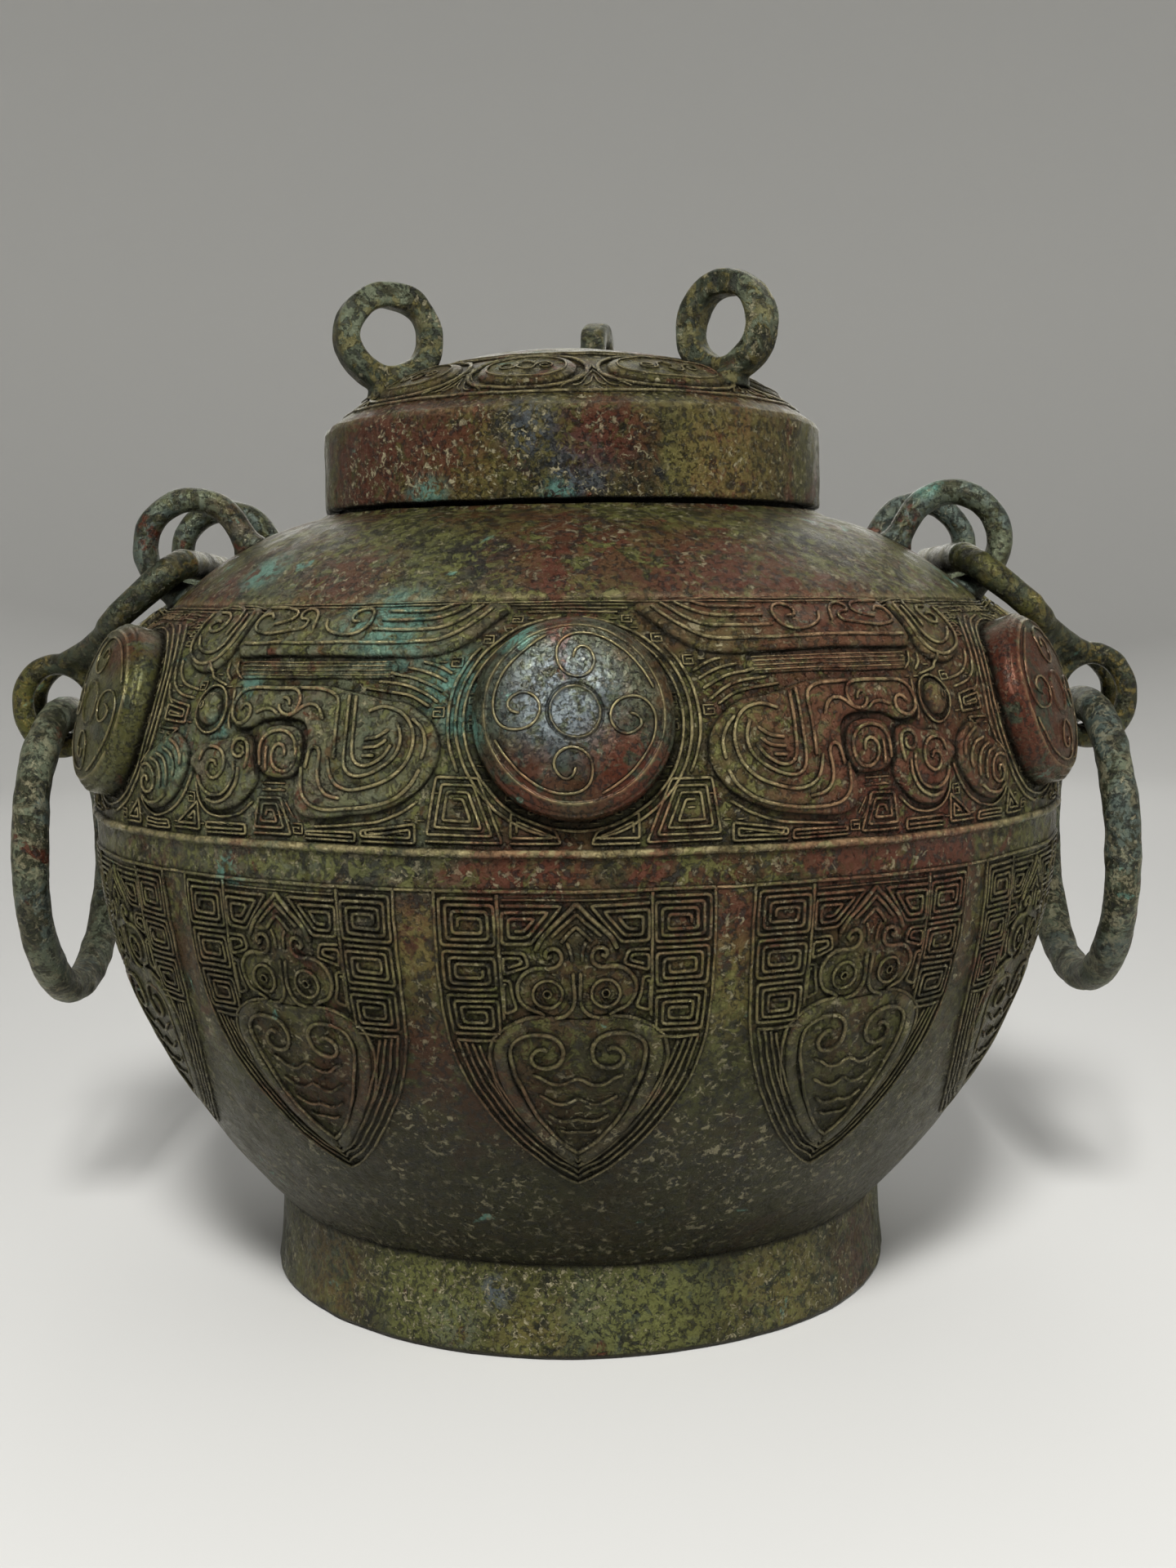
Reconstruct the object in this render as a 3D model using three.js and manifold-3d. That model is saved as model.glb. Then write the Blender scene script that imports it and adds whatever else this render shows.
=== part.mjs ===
// Lidded round bronze vessel with three rings on its lid and a lug, a link and a bail ring on each side.
// Millimetres, +Z up. The origin is the centre of the foot's standing face. The front faces -Y.
import * as THREE from 'three';
import { mergeVertices } from 'three/addons/utils/BufferGeometryUtils.js';
import Module from 'manifold-3d';

const wasm = await Module();
wasm.setup();

// Clearances
const castGap = 0.3;
const restClearance = 0.5;
const lidSideClearance = 1.5;
const lidSkirtClearance = 1.4;

// Foot ring
const footHeight = 26;
const footBottomRadius = 96.5;
const footTopRadius = 95;
const footWaistDraw = 0.8;
const footWall = 6;
const footEdgeRound = 1.8;

// Vessel body
const wall = 4.5;
const bottomSag = 5;
const waistHeight = 145;
const waistRadius = 147;
const ridgeWidth = 2.4;
const ridgeProud = 1.3;
const shoulderHeight = 204.6;
const shoulderInset = 24;
const shoulderStep = 1;
const collarHeight = 230.6;
const collarLedge = 0.5;
const mouthRadius = 66.5;

// How far the ends of the body's outline curves run straight before they turn
const bellyLowPull = 21.5;
const bellyHighPull = 52.8;
const friezeLowPull = 7;
const friezeOutPull = 27.5;
const friezeUpPull = 15.4;
const shoulderOutPull = 28.5;
const shoulderUpPull = 26.3;
const collarPull = 2.7;

// Cast relief, drawn flat: millimetres round to the right from the middle of its pattern, and up along the curve
const reliefHeight = 1.6;
const reliefRoot = 1.2;
const reliefTolerance = 0.06;
const dragonCopies = 3;
const friezeDrawRadius = 145;
const friezeDrawLength = 65.8;
const dragonCrest = [[-96, 47], [-35, 46.4], [-25.5, 51], [-20.5, 58], [-26, 61.8], [-97.5, 61.8]];
const dragonBody = [
  [-90.5, 28.5], [-70, 29.6], [-66, 24], [-69.5, 12], [-66, 6.2], [-50, 7], [-38, 11.8],
  [-31.4, 21], [-35, 32.4], [-60, 38.4], [-88.5, 38],
];
const dragonSnout = [[-103, 18], [-97, 7.5], [-90, 6.9], [-80.6, 15], [-68, 16.5], [-71, 28.2], [-97, 24.2]];
const dragonClaw = [[-126, 14], [-121, 5.8], [-110, 9.5], [-104.5, 18], [-111, 25.4]];
const dragonForehead = [[-120.5, 62.8], [-115.5, 45], [-104, 42.6], [-99.2, 50], [-100.5, 62.8]];
const bladeCopies = 12;
const bladeHeight = 0.4;
const heartHeight = 0.9;
const bellyDrawRadius = 147;
const bellyDrawLength = 132;
const blade = [
  [0, 39.8], [20, 57], [32, 83], [33.4, 124.6], [-33.4, 124.6], [-32, 83], [-20, 57],
];
const heart = [
  [0, 46], [17, 64], [22.4, 81], [12.4, 94], [11.5, 108], [0, 121], [-11.5, 108], [-12.4, 94], [-22.4, 81], [-17, 64],
];

// Neck and lid
const neckWall = 4.5;
const neckHeight = 21.2;
const skirtWall = 4;
const skirtAboveNeck = 4.7;
const domeRise = 24.5;
const lidWall = 4.5;

// Rings that stand on the lid
const lidRingCount = 3;
const lidRingTurn = 51;
const lidRingPlace = 58;
const lidRingLift = 15.4;
const lidRingHoleRadius = 9.3;
const lidRingThick = 7;
const lidRingWide = 8.4;

// Round bosses on the frieze
const bossCount = 6;
const bossRadius = 23.7;
const bossPlace = 0.46;
const bossRim = 2.4;
const bossRise = 4.8;
const bossRimRound = 0.9;
const bossRoot = 8;

// Lugs: two parallel arches of round rod on each side
const lugRod = 7.6;
const lugArchRadius = 14.4;
const lugSpacing = 48;
const lugPlace = 0.33;
const lugLift = 7.4;
const lugStartAngle = -50;
const lugEndAngle = 150;
const lugRoot = 12;

// Links: a stirrup through both arches, a web, and an eye of two strands
const linkRod = 9;
const stirrupLength = 34;
const stirrupCorner = 9;
const eyeRod = 6.8;
const eyeSpacing = 14;
const eyeHoleHalfWidth = 8.2;
const eyeHoleRise = 9.8;
const webWidth = 17;
const linkOverRelief = 0.6;

// Bail rings
const bailRod = 11.5;
const bailRadius = 43.7;
const bailTop = 172;
const bailWallGap = 6.5;

// Facets
const turnSegments = 48;
const bossSegments = 20;
const ringSegments = 36;
const rodSides = 8;

const bronze = (color, roughness, metalness) => new THREE.MeshStandardMaterial({ color, roughness, metalness });
const oliveBronze = bronze(0x4f4d34, 0.5, 0.7);
const footBronze = bronze(0x5d5a3b, 0.6, 0.6);
const brownBronze = bronze(0x544536, 0.5, 0.7);
const greyBronze = bronze(0x6a6c58, 0.5, 0.7);

const up = new THREE.Vector3(0, 0, 1);
const radians = THREE.MathUtils.degToRad;

// Position-only geometry with shared vertices and without the empty triangles at an axis
function clean(geometry) {
  const bare = geometry.clone();
  bare.deleteAttribute('normal');
  bare.deleteAttribute('uv');
  const merged = mergeVertices(bare, 1e-4);
  const kept = [];
  const index = merged.index.array;
  for (let i = 0; i < index.length; i += 3) {
    const [a, b, c] = [index[i], index[i + 1], index[i + 2]];
    if (a !== b && b !== c && c !== a) kept.push(a, b, c);
  }
  merged.setIndex(kept);
  return merged;
}

function solidOf(geometry) {
  const ready = clean(geometry);
  return new wasm.Manifold(new wasm.Mesh({
    numProp: 3,
    vertProperties: Float32Array.from(ready.attributes.position.array),
    triVerts: Uint32Array.from(ready.index.array),
  }));
}

function geometryOf(solid) {
  const mesh = solid.getMesh();
  const geometry = new THREE.BufferGeometry();
  geometry.setAttribute('position', new THREE.BufferAttribute(Float32Array.from(mesh.vertProperties), 3));
  geometry.setIndex(Array.from(mesh.triVerts));
  return geometry;
}

// A closed outline of [radius, height] points, turned about Z: up the outside and down the inside
function revolve(outline, segments = turnSegments) {
  const points = outline.map(([radius, height]) => new THREE.Vector2(radius, height));
  return new THREE.LatheGeometry(points, segments).rotateX(Math.PI / 2);
}

function roundSection(radius, sides = rodSides) {
  const points = [];
  for (let i = 0; i < sides; i++) {
    const angle = (2 * Math.PI * (i + 0.5)) / sides;
    points.push(new THREE.Vector2(radius * Math.cos(angle), radius * Math.sin(angle)));
  }
  return points;
}

function rodAlong(points, rod, steps) {
  const path = new THREE.CatmullRomCurve3(points, false, 'centripetal');
  const section = new THREE.Shape(roundSection(rod / 2));
  return new THREE.ExtrudeGeometry(section, { steps, bevelEnabled: false, extrudePath: path });
}

// A ring about Z whose section is a polygon centred on the ring radius
function ringOf(radius, section, segments = ringSegments) {
  const outline = section.map((point) => [radius + point.x, point.y]);
  outline.push(outline[0]);
  return revolve(outline, segments);
}

// Outline curves of the body, as radius and height
const cubic = (...points) => new THREE.CubicBezierCurve(...points.map(([x, y]) => new THREE.Vector2(x, y)));
const ridgeLow = waistHeight - ridgeWidth / 2;
const ridgeHigh = waistHeight + ridgeWidth / 2;
const skirtRadius = mouthRadius + neckWall + lidSideClearance + skirtWall;
const shoulderRadius = waistRadius - shoulderInset;
const friezeTop = shoulderHeight - shoulderStep;
const collarRadius = skirtRadius + collarLedge;
const belly = cubic(
  [footTopRadius, footHeight],
  [footTopRadius + bellyLowPull, footHeight + bellyLowPull],
  [waistRadius, ridgeLow - bellyHighPull],
  [waistRadius, ridgeLow],
);
const frieze = cubic(
  [waistRadius, ridgeHigh],
  [waistRadius, ridgeHigh + friezeLowPull],
  [shoulderRadius + friezeOutPull, friezeTop - friezeUpPull],
  [shoulderRadius, friezeTop],
);
const shoulder = cubic(
  [shoulderRadius, shoulderHeight],
  [shoulderRadius - shoulderOutPull, shoulderHeight + shoulderUpPull],
  [collarRadius, collarHeight - collarPull],
  [collarRadius, collarHeight],
);

// The point at a share of a curve's length, moved along the outward normal
function besides(curve, place, distance) {
  const point = curve.getPointAt(place);
  const tangent = curve.getTangentAt(place);
  return [point.x + tangent.y * distance, point.y - tangent.x * distance];
}

function outlineOf(curve, count, distance = 0, first = 0, last = 1) {
  const points = [];
  for (let i = 0; i <= count; i++) points.push(besides(curve, first + ((last - first) * i) / count, distance));
  return points;
}

function bodyGeometry() {
  const innerBottom = footHeight - bottomSag + wall;
  const innerBelly = outlineOf(belly, 6, -wall, 0, 1);
  const outline = [
    [0, footHeight - bottomSag],
    [(footTopRadius - footWall) / 2, footHeight - bottomSag * 0.8],
    [footTopRadius - footWall, footHeight],
    ...outlineOf(belly, 9),
    [waistRadius + ridgeProud, waistHeight - ridgeWidth / 4],
    [waistRadius + ridgeProud, waistHeight + ridgeWidth / 4],
    ...outlineOf(frieze, 8),
    ...outlineOf(shoulder, 5),
    [mouthRadius, collarHeight],
    [mouthRadius, collarHeight - wall],
    ...outlineOf(shoulder, 3, -wall, 0.08, 0.9).reverse(),
    ...outlineOf(frieze, 5, -wall, 0, 0.95).reverse(),
    ...innerBelly.reverse(),
    [innerBelly.at(-1)[0] / 2, innerBottom + bottomSag * 0.2],
    [0, innerBottom],
  ];
  return revolve(outline);
}

// A cutting tool whose walls stand square on the curve's surface, round an outline drawn flat
function reliefTool(curve, outline, drawRadius, drawLength, turn, side) {
  const reach = { out: 14, in: -6 };
  const flat = outline.map(([x, y]) => new THREE.Vector2(side * x, y));
  if (THREE.ShapeUtils.isClockWise(flat)) flat.reverse();
  const positions = [];
  for (const distance of [reach.out, reach.in]) {
    for (const { x, y } of flat) {
      const [radius, height] = besides(curve, y / drawLength, distance);
      const angle = x / drawRadius + radians(turn);
      positions.push(radius * Math.sin(angle), -radius * Math.cos(angle), height);
    }
  }
  const count = flat.length;
  const index = [];
  for (const [a, b, c] of THREE.ShapeUtils.triangulateShape(flat, [])) {
    index.push(a, b, c, count + c, count + b, count + a);
  }
  for (let a = 0; a < count; a++) {
    const b = (a + 1) % count;
    index.push(count + a, count + b, b, count + a, b, a);
  }
  return new wasm.Manifold(new wasm.Mesh({
    numProp: 3,
    vertProperties: Float32Array.from(positions),
    triVerts: Uint32Array.from(index),
  }));
}

// A raised skin over a curve, kept only inside the tools
function raised(curve, rows, height, tools) {
  const outline = [...outlineOf(curve, rows, height), ...outlineOf(curve, rows, -reliefRoot).reverse()];
  outline.push(outline[0]);
  return solidOf(revolve(outline)).intersect(wasm.Manifold.union(tools));
}

function bodyWithRelief() {
  const dragonTools = [];
  for (let i = 0; i < dragonCopies; i++) {
    for (const side of [1, -1]) {
      for (const plate of [dragonCrest, dragonBody, dragonSnout, dragonClaw, dragonForehead]) {
        const turn = (360 / dragonCopies) * i;
        dragonTools.push(reliefTool(frieze, plate, friezeDrawRadius, friezeDrawLength, turn, side));
      }
    }
  }
  const bladeTools = [];
  const heartTools = [];
  for (let i = 0; i < bladeCopies; i++) {
    const turn = (360 / bladeCopies) * i;
    bladeTools.push(reliefTool(belly, blade, bellyDrawRadius, bellyDrawLength, turn, 1));
    heartTools.push(reliefTool(belly, heart, bellyDrawRadius, bellyDrawLength, turn, 1));
  }
  const dragons = raised(frieze, 8, reliefHeight, dragonTools).subtract(eyeClearing());
  const blades = raised(belly, 9, bladeHeight, bladeTools).add(raised(belly, 9, heartHeight, heartTools));
  return geometryOf(solidOf(bodyGeometry()).add(dragons).add(blades).simplify(reliefTolerance));
}

// Where the links' eyes lie close to the body, the relief is worn away
function eyeClearing() {
  const width = eyeSpacing + eyeRod + 3;
  const height = (eyeHoleRise + eyeRod / 2) * 1.3;
  const box = new THREE.BoxGeometry(4 * waistRadius, width, height);
  return solidOf(box.translate(0, 0, eyeCentre[1] - height * 0.15));
}

// The body's outer surface with the cast gap added, filled to the axis, for cutting what sits on it
function bodyCutter() {
  const outline = [
    [0, ridgeHigh],
    ...outlineOf(frieze, 8, castGap),
    ...outlineOf(shoulder, 5, castGap),
    [0, collarHeight + castGap],
  ];
  return solidOf(revolve(outline));
}

function footGeometry() {
  const middle = (footBottomRadius + footTopRadius) / 2 - footWaistDraw;
  const outline = [
    [footBottomRadius - footEdgeRound, 0],
    [footBottomRadius, footEdgeRound],
    [middle, footHeight / 2],
    [footTopRadius, footHeight],
    [footTopRadius - footWall, footHeight],
    [middle - footWall, footHeight / 2],
    [footBottomRadius - footWall, 0],
    [footBottomRadius - footEdgeRound, 0],
  ];
  return revolve(outline);
}

function neckGeometry() {
  const top = collarHeight + neckHeight;
  const outline = [
    [mouthRadius, collarHeight],
    [mouthRadius + neckWall, collarHeight],
    [mouthRadius + neckWall, top],
    [mouthRadius, top],
    [mouthRadius, collarHeight],
  ];
  return revolve(outline);
}

// Lid: a skirt over the neck, a ledge on the neck's rim and a dome
const neckTop = collarHeight + neckHeight;
const skirtTop = neckTop + skirtAboveNeck;
const dome = cubic(
  [skirtRadius, skirtTop],
  [skirtRadius * 0.62, skirtTop + domeRise * 0.83],
  [skirtRadius * 0.4, skirtTop + domeRise],
  [0, skirtTop + domeRise],
);

// The share of the dome's length at which its underside reaches the mouth's radius
function domeLedgePlace() {
  let place = 0;
  while (place < 0.5 && besides(dome, place, -lidWall)[0] > mouthRadius) place += 0.01;
  return place;
}

function lidGeometry() {
  const skirtBottom = collarHeight + lidSkirtClearance;
  const skirtInner = skirtRadius - skirtWall;
  const outline = [
    [skirtInner, skirtBottom],
    [skirtRadius, skirtBottom],
    ...outlineOf(dome, 9),
    [0, skirtTop + domeRise - lidWall],
    ...outlineOf(dome, 5, -lidWall, domeLedgePlace(), 0.9).reverse(),
    [mouthRadius, neckTop],
    [skirtInner, neckTop],
    [skirtInner, skirtBottom],
  ];
  return revolve(outline);
}

function lidCutter() {
  const outline = [[0, neckTop], [skirtRadius, neckTop], ...outlineOf(dome, 9, castGap).slice(1)];
  outline.push([0, skirtTop + domeRise + castGap]);
  return solidOf(revolve(outline));
}

// The dome's height at a distance from the axis
function domeHeight(radius) {
  let place = 0;
  while (dome.getPointAt(place).x > radius) place += 0.005;
  return dome.getPointAt(place).y;
}

function lidRingGeometry() {
  const [x, y] = [lidRingThick / 2, lidRingWide / 2];
  const [cutX, cutY] = [x * 0.45, y * 0.45];
  const section = [
    [x, -y + cutY], [x, y - cutY], [x - cutX, y], [-x + cutX, y],
    [-x, y - cutY], [-x, -y + cutY], [-x + cutX, -y], [x - cutX, -y],
  ].map(([a, b]) => new THREE.Vector2(a, b));
  const radius = lidRingHoleRadius + lidRingThick / 2;
  const ring = ringOf(radius, section, 24).rotateY(Math.PI / 2);
  ring.translate(0, -lidRingPlace, domeHeight(lidRingPlace) + lidRingLift);
  return geometryOf(solidOf(ring).subtract(lidCutter()));
}

// A boss at the front: a low domed drum on the frieze, its root cut away along the body's surface
function bossGeometry(cutter) {
  const [radius, height] = besides(frieze, bossPlace, 0);
  const tangent = frieze.getTangentAt(bossPlace);
  const outward = new THREE.Vector3(0, -tangent.y, -tangent.x);
  const domePoints = [];
  for (let i = 0; i <= 5; i++) {
    const angle = (Math.PI / 2) * (i / 5);
    domePoints.push([(bossRadius - bossRimRound) * Math.cos(angle), bossRim + bossRimRound + bossRise * Math.sin(angle) ** 1.4]);
  }
  domePoints[5][0] = 0;
  const outline = [[0, -bossRoot], [bossRadius, -bossRoot], [bossRadius, bossRim], ...domePoints];
  const turn = new THREE.Quaternion().setFromUnitVectors(up, outward);
  const drum = revolve(outline, bossSegments).applyQuaternion(turn).translate(0, -radius, height);
  return geometryOf(solidOf(drum).subtract(cutter));
}

// Places along the right side, in the XZ plane
const seat = besides(shoulder, lugPlace, 0);
const seatNormal = besides(shoulder, lugPlace, 1).map((value, i) => value - seat[i]);
const downSlope = [seatNormal[1], -seatNormal[0]];
const archCentre = [seat[0] + seatNormal[0] * lugLift, seat[1] + seatNormal[1] * lugLift];
const barDrop = lugLift - linkRod / 2 - restClearance;
const barReach = lugArchRadius - lugRod / 2 - linkRod / 2 - restClearance;
const barSlide = Math.sqrt(barReach ** 2 - barDrop ** 2);
const hinge = [0, 1].map((i) => archCentre[i] - seatNormal[i] * barDrop + downSlope[i] * barSlide);
const bailPlane = waistRadius + ridgeProud + bailWallGap + bailRod / 2;

function archGeometry(cutter, side) {
  const y = (side * lugSpacing) / 2;
  const at = (x, z) => new THREE.Vector3(x, y, z);
  const onArc = (angle) => [
    archCentre[0] + lugArchRadius * Math.cos(angle),
    archCentre[1] + lugArchRadius * Math.sin(angle),
  ];
  const [first, last] = [radians(lugStartAngle), radians(lugEndAngle)];
  const low = onArc(first);
  const high = onArc(last);
  const points = [at(low[0] + lugRoot * Math.sin(first), low[1] - lugRoot * Math.cos(first))];
  for (let i = 0; i <= 10; i++) points.push(at(...onArc(first + ((last - first) * i) / 10)));
  points.push(at(high[0] - lugRoot * Math.sin(last), high[1] + lugRoot * Math.cos(last)));
  return geometryOf(solidOf(rodAlong(points, lugRod, 22)).subtract(cutter));
}

// The stirrup lies in a plane through the hinge line that slopes down over the shoulder
const shankSeat = besides(frieze, 0.72, linkRod / 2 + restClearance + reliefHeight + linkOverRelief);
const slope = new THREE.Vector2(shankSeat[0] - hinge[0], shankSeat[1] - hinge[1]).normalize();
const stirrupHalf = lugSpacing / 2 + lugRod / 2 + linkRod / 2 + restClearance;
const eyeCentre = [bailPlane, bailTop + eyeHoleRise - bailRod / 2 - restClearance - bailEdgeDrop()];
const stirrupEnd = [hinge[0] + slope.x * stirrupLength, hinge[1] + slope.y * stirrupLength];

// How far the bail's rod has curved down where the eye's outer faces hold it
function bailEdgeDrop() {
  const reach = (eyeSpacing + eyeRod) / 2;
  return bailRadius - Math.sqrt(bailRadius ** 2 - reach ** 2);
}

function stirrupHalfRod(side) {
  const at = (along, across) => new THREE.Vector3(hinge[0] + slope.x * along, side * across, hinge[1] + slope.y * along);
  const points = [at(0, -1), at(0, stirrupHalf - stirrupCorner)];
  const corner = (centreAlong, from) => {
    for (let i = 1; i <= 3; i++) {
      const angle = from + ((Math.PI / 2) * i) / 4;
      const reach = stirrupCorner;
      points.push(at(centreAlong - reach * Math.cos(angle), stirrupHalf - reach + reach * Math.sin(angle)));
    }
  };
  corner(stirrupCorner, 0);
  points.push(at(stirrupCorner, stirrupHalf), at(stirrupLength - stirrupCorner, stirrupHalf));
  corner(stirrupLength - stirrupCorner, Math.PI / 2);
  points.push(at(stirrupLength, stirrupHalf - stirrupCorner), at(stirrupLength, -1));
  return solidOf(rodAlong(points, linkRod, 34));
}

function eyeStrand(side) {
  const [halfWidth, halfHeight] = [eyeHoleHalfWidth + eyeRod / 2, eyeHoleRise + eyeRod / 2];
  const ring = ringOf(halfWidth, roundSection(eyeRod / 2), 24).rotateX(Math.PI / 2);
  ring.scale(1, 1, halfHeight / halfWidth);
  ring.translate(eyeCentre[0], (side * eyeSpacing) / 2, eyeCentre[1]);
  return solidOf(ring);
}

// The web between the stirrup's lower bar and the top of the eye, in side view
function webSolid() {
  const normal = [-slope.y, slope.x];
  const eyeTop = eyeCentre[1] + eyeHoleRise + eyeRod / 2;
  const outline = [
    [stirrupEnd[0] - normal[0] * linkRod * 0.35, stirrupEnd[1] - normal[1] * linkRod * 0.35],
    [eyeCentre[0] - eyeHoleHalfWidth - eyeRod * 0.35, eyeCentre[1] + eyeHoleRise * 0.45],
    [eyeCentre[0] - eyeHoleHalfWidth * 0.75, eyeCentre[1] + eyeHoleRise * 0.85],
    [eyeCentre[0], eyeTop - eyeRod * 0.6],
    [eyeCentre[0], eyeTop - eyeRod * 0.15],
    [eyeCentre[0] - eyeHoleHalfWidth * 0.8, eyeTop - eyeRod * 0.1],
    [stirrupEnd[0] + normal[0] * linkRod * 0.4, stirrupEnd[1] + normal[1] * linkRod * 0.4],
  ].map(([x, z]) => new THREE.Vector2(x, z));
  const web = new THREE.ExtrudeGeometry(new THREE.Shape(outline), { depth: webWidth, bevelEnabled: false });
  web.translate(0, 0, -webWidth / 2).rotateX(Math.PI / 2);
  return solidOf(web);
}

function linkGeometry() {
  const link = stirrupHalfRod(1).add(stirrupHalfRod(-1)).add(eyeStrand(1)).add(eyeStrand(-1)).add(webSolid());
  return geometryOf(link);
}

function bailGeometry() {
  const ring = ringOf(bailRadius, roundSection(bailRod / 2)).rotateY(Math.PI / 2);
  return ring.translate(bailPlane, 0, bailTop - bailRadius);
}

const vessel = new THREE.Group();

function addPiece(name, geometry, material, turn = 0) {
  const mesh = new THREE.Mesh(clean(geometry), material);
  mesh.name = name;
  mesh.rotation.z = radians(turn);
  vessel.add(mesh);
}

const cutter = bodyCutter();
addPiece('vessel_body', bodyWithRelief(), oliveBronze);
addPiece('foot_ring', footGeometry(), footBronze);
addPiece('neck_collar', neckGeometry(), oliveBronze);
addPiece('lid', lidGeometry(), brownBronze);

const boss = bossGeometry(cutter);
for (let i = 0; i < bossCount; i++) addPiece(`boss_${i + 1}`, boss, oliveBronze, (360 / bossCount) * i);

const lidRing = lidRingGeometry();
for (let i = 0; i < lidRingCount; i++) {
  addPiece(`lid_ring_${i + 1}`, lidRing, greyBronze, lidRingTurn + (360 / lidRingCount) * i);
}

const handle = {
  lug_arch_a: archGeometry(cutter, -1),
  lug_arch_b: archGeometry(cutter, 1),
  link: linkGeometry(),
  bail: bailGeometry(),
};
for (const [side, turn] of [['right', 0], ['left', 180]]) {
  for (const [name, geometry] of Object.entries(handle)) addPiece(`${name}_${side}`, geometry, greyBronze, turn);
}

export default vessel;
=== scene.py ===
# Lidded round bronze vessel with whorl bosses, dragons, hanging blades and chained bail rings: its looks.
# Lengths here are in millimetres and are turned into metres where a mesh is made.
import math

import bpy
import numpy as np
from mathutils import Matrix, Vector, geometry


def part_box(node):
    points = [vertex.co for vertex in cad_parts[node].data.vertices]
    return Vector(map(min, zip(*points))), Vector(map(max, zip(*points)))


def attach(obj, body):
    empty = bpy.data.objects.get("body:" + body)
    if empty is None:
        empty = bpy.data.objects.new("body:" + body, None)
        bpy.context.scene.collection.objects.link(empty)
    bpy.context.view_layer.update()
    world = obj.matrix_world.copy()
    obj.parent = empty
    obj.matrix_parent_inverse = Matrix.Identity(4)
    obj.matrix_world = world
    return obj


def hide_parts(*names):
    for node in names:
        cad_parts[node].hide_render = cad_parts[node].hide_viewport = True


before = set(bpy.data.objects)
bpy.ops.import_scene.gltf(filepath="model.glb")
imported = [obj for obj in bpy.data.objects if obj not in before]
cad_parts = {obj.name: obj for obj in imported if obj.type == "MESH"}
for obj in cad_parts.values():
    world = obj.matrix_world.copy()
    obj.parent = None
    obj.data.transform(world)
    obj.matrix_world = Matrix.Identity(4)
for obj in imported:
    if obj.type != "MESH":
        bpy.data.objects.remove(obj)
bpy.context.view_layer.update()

MM = 0.001
LEVEL_BELOW = 15.0


def cad_size(node):
    """The lowest and highest corners of a CAD node, in millimetres."""
    low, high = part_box(node)
    return np.array(low) / MM, np.array(high) / MM


# Boxes of the CAD nodes that give sizes here
foot_high = cad_size("foot_ring")[1]
neck_low, neck_high = cad_size("neck_collar")
lid_low, lid_high = cad_size("lid")
bail_low, bail_high = cad_size("bail_right")

# Foot, bowl, frieze, shoulder and collar, from below
FOOT_HEIGHT = 26.0
FOOT_BOTTOM = float(foot_high[0])
FOOT_TOP = 95.0
FOOT_WALL = 6.0
FOOT_EDGE = 1.8
WALL = 4.5
FLOOR_SINK = 5.0
WAIST = 147.0
WAIST_HEIGHT = 145.0
RIDGE_WIDTH = 2.4
RIDGE_PROUD = 1.3
SHOULDER = 123.0
SHOULDER_HEIGHT = 204.6
SHOULDER_STEP = 1.0
COLLAR = 77.0
COLLAR_HEIGHT = float(neck_low[2])
MOUTH = 66.5
NECK_TOP = float(neck_high[2])
NECK_OUT = float(neck_high[0])
BODY_SEGMENTS = 256
TURNED_SEGMENTS = 224
NECK_SEGMENTS = 160

# Lid
SKIRT_OUT = float(lid_high[0])
SKIRT_WALL = 4.0
SKIRT_IN = SKIRT_OUT - SKIRT_WALL
SKIRT_LOW = float(lid_low[2])
SKIRT_TOP = 256.5
DOME_TOP = float(lid_high[2])

# Whorl bosses; BOSS_PLACE is a share of the frieze's curve
BOSSES = 6
BOSS_RADIUS = 23.7
BOSS_PLACE = 0.46
BOSS_ROOT = 8.0
BOSS_FACE = 22.8
BOSS_RIM = 3.3
BOSS_RISE = 4.8
BOSS_RING = 20.9
BOSS_DISC = 5.8
BOSS_GROOVE = 6.5
COMMA_SIZE = 0.96
COMMA = (
    (0, -13.3), (-0.6, -15.2), (-2.2, -16.1), (-4, -15), (-5, -12.7), (-4.2, -10.1), (-1.8, -8.5),
    (1, -8.8), (3.2, -10.7), (4.1, -13.5), (3.7, -16.4), (2, -18.4), (-1, -19.4), (-5, -19.1),
    (-9.5, -17.2), (-14, -13.7), (-17.5, -9.4), (-19.2, -6.4),
)

# Lug arches; LUG_PLACE is a share of the shoulder's curve
LUG_ROD = 7.6
LUG_ARCH = 14.4
LUG_SPACING = 48.0
LUG_PLACE = 0.33
LUG_LIFT = 7.4
LUG_START = math.radians(-50)
LUG_END = math.radians(150)
LUG_ROOT = 12.0
LUG_BURIED = -2.4

# Links
LINK_ROD = 9.0
STIRRUP_LENGTH = 34.0
STIRRUP_CORNER = 9.0
REST_CLEARANCE = 0.5
SHANK_PLACE = 0.72
RELIEF = 1.6
LINK_OVER_RELIEF = 0.6
EYE_ROD = 6.8
EYE_SPACING = 14.0
EYE_HALF_WIDTH = 8.2
EYE_RISE = 9.8
EYE_POINTS = 48
LINK_VOXEL = 0.7

# Bail rings
BAIL_ROD = float(bail_high[0] - bail_low[0])
BAIL_THICKNESS = 11.5
BAIL_PLANE = float(bail_high[0] + bail_low[0]) / 2
BAIL_RADIUS = float(bail_high[1]) - BAIL_THICKNESS / 2
BAIL_CENTRE = float(bail_high[2] + bail_low[2]) / 2
BAIL_POINTS = 160

# Rings and cartouches of the lid, in degrees round the axis
RING_LIFT = 15.4
RING_HOLE = 9.3
RING_THICK = 7.0
RING_WIDE = 8.4
RING_PLACE = 58.0
RING_VOXEL = 0.5
RING_TURNS = (51, 171, 291)
CARTOUCHE_WIDTHS = (45, 36, 39)
CARTOUCHE_OUT = 68.5
CARTOUCHE_IN = 46.5

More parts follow.
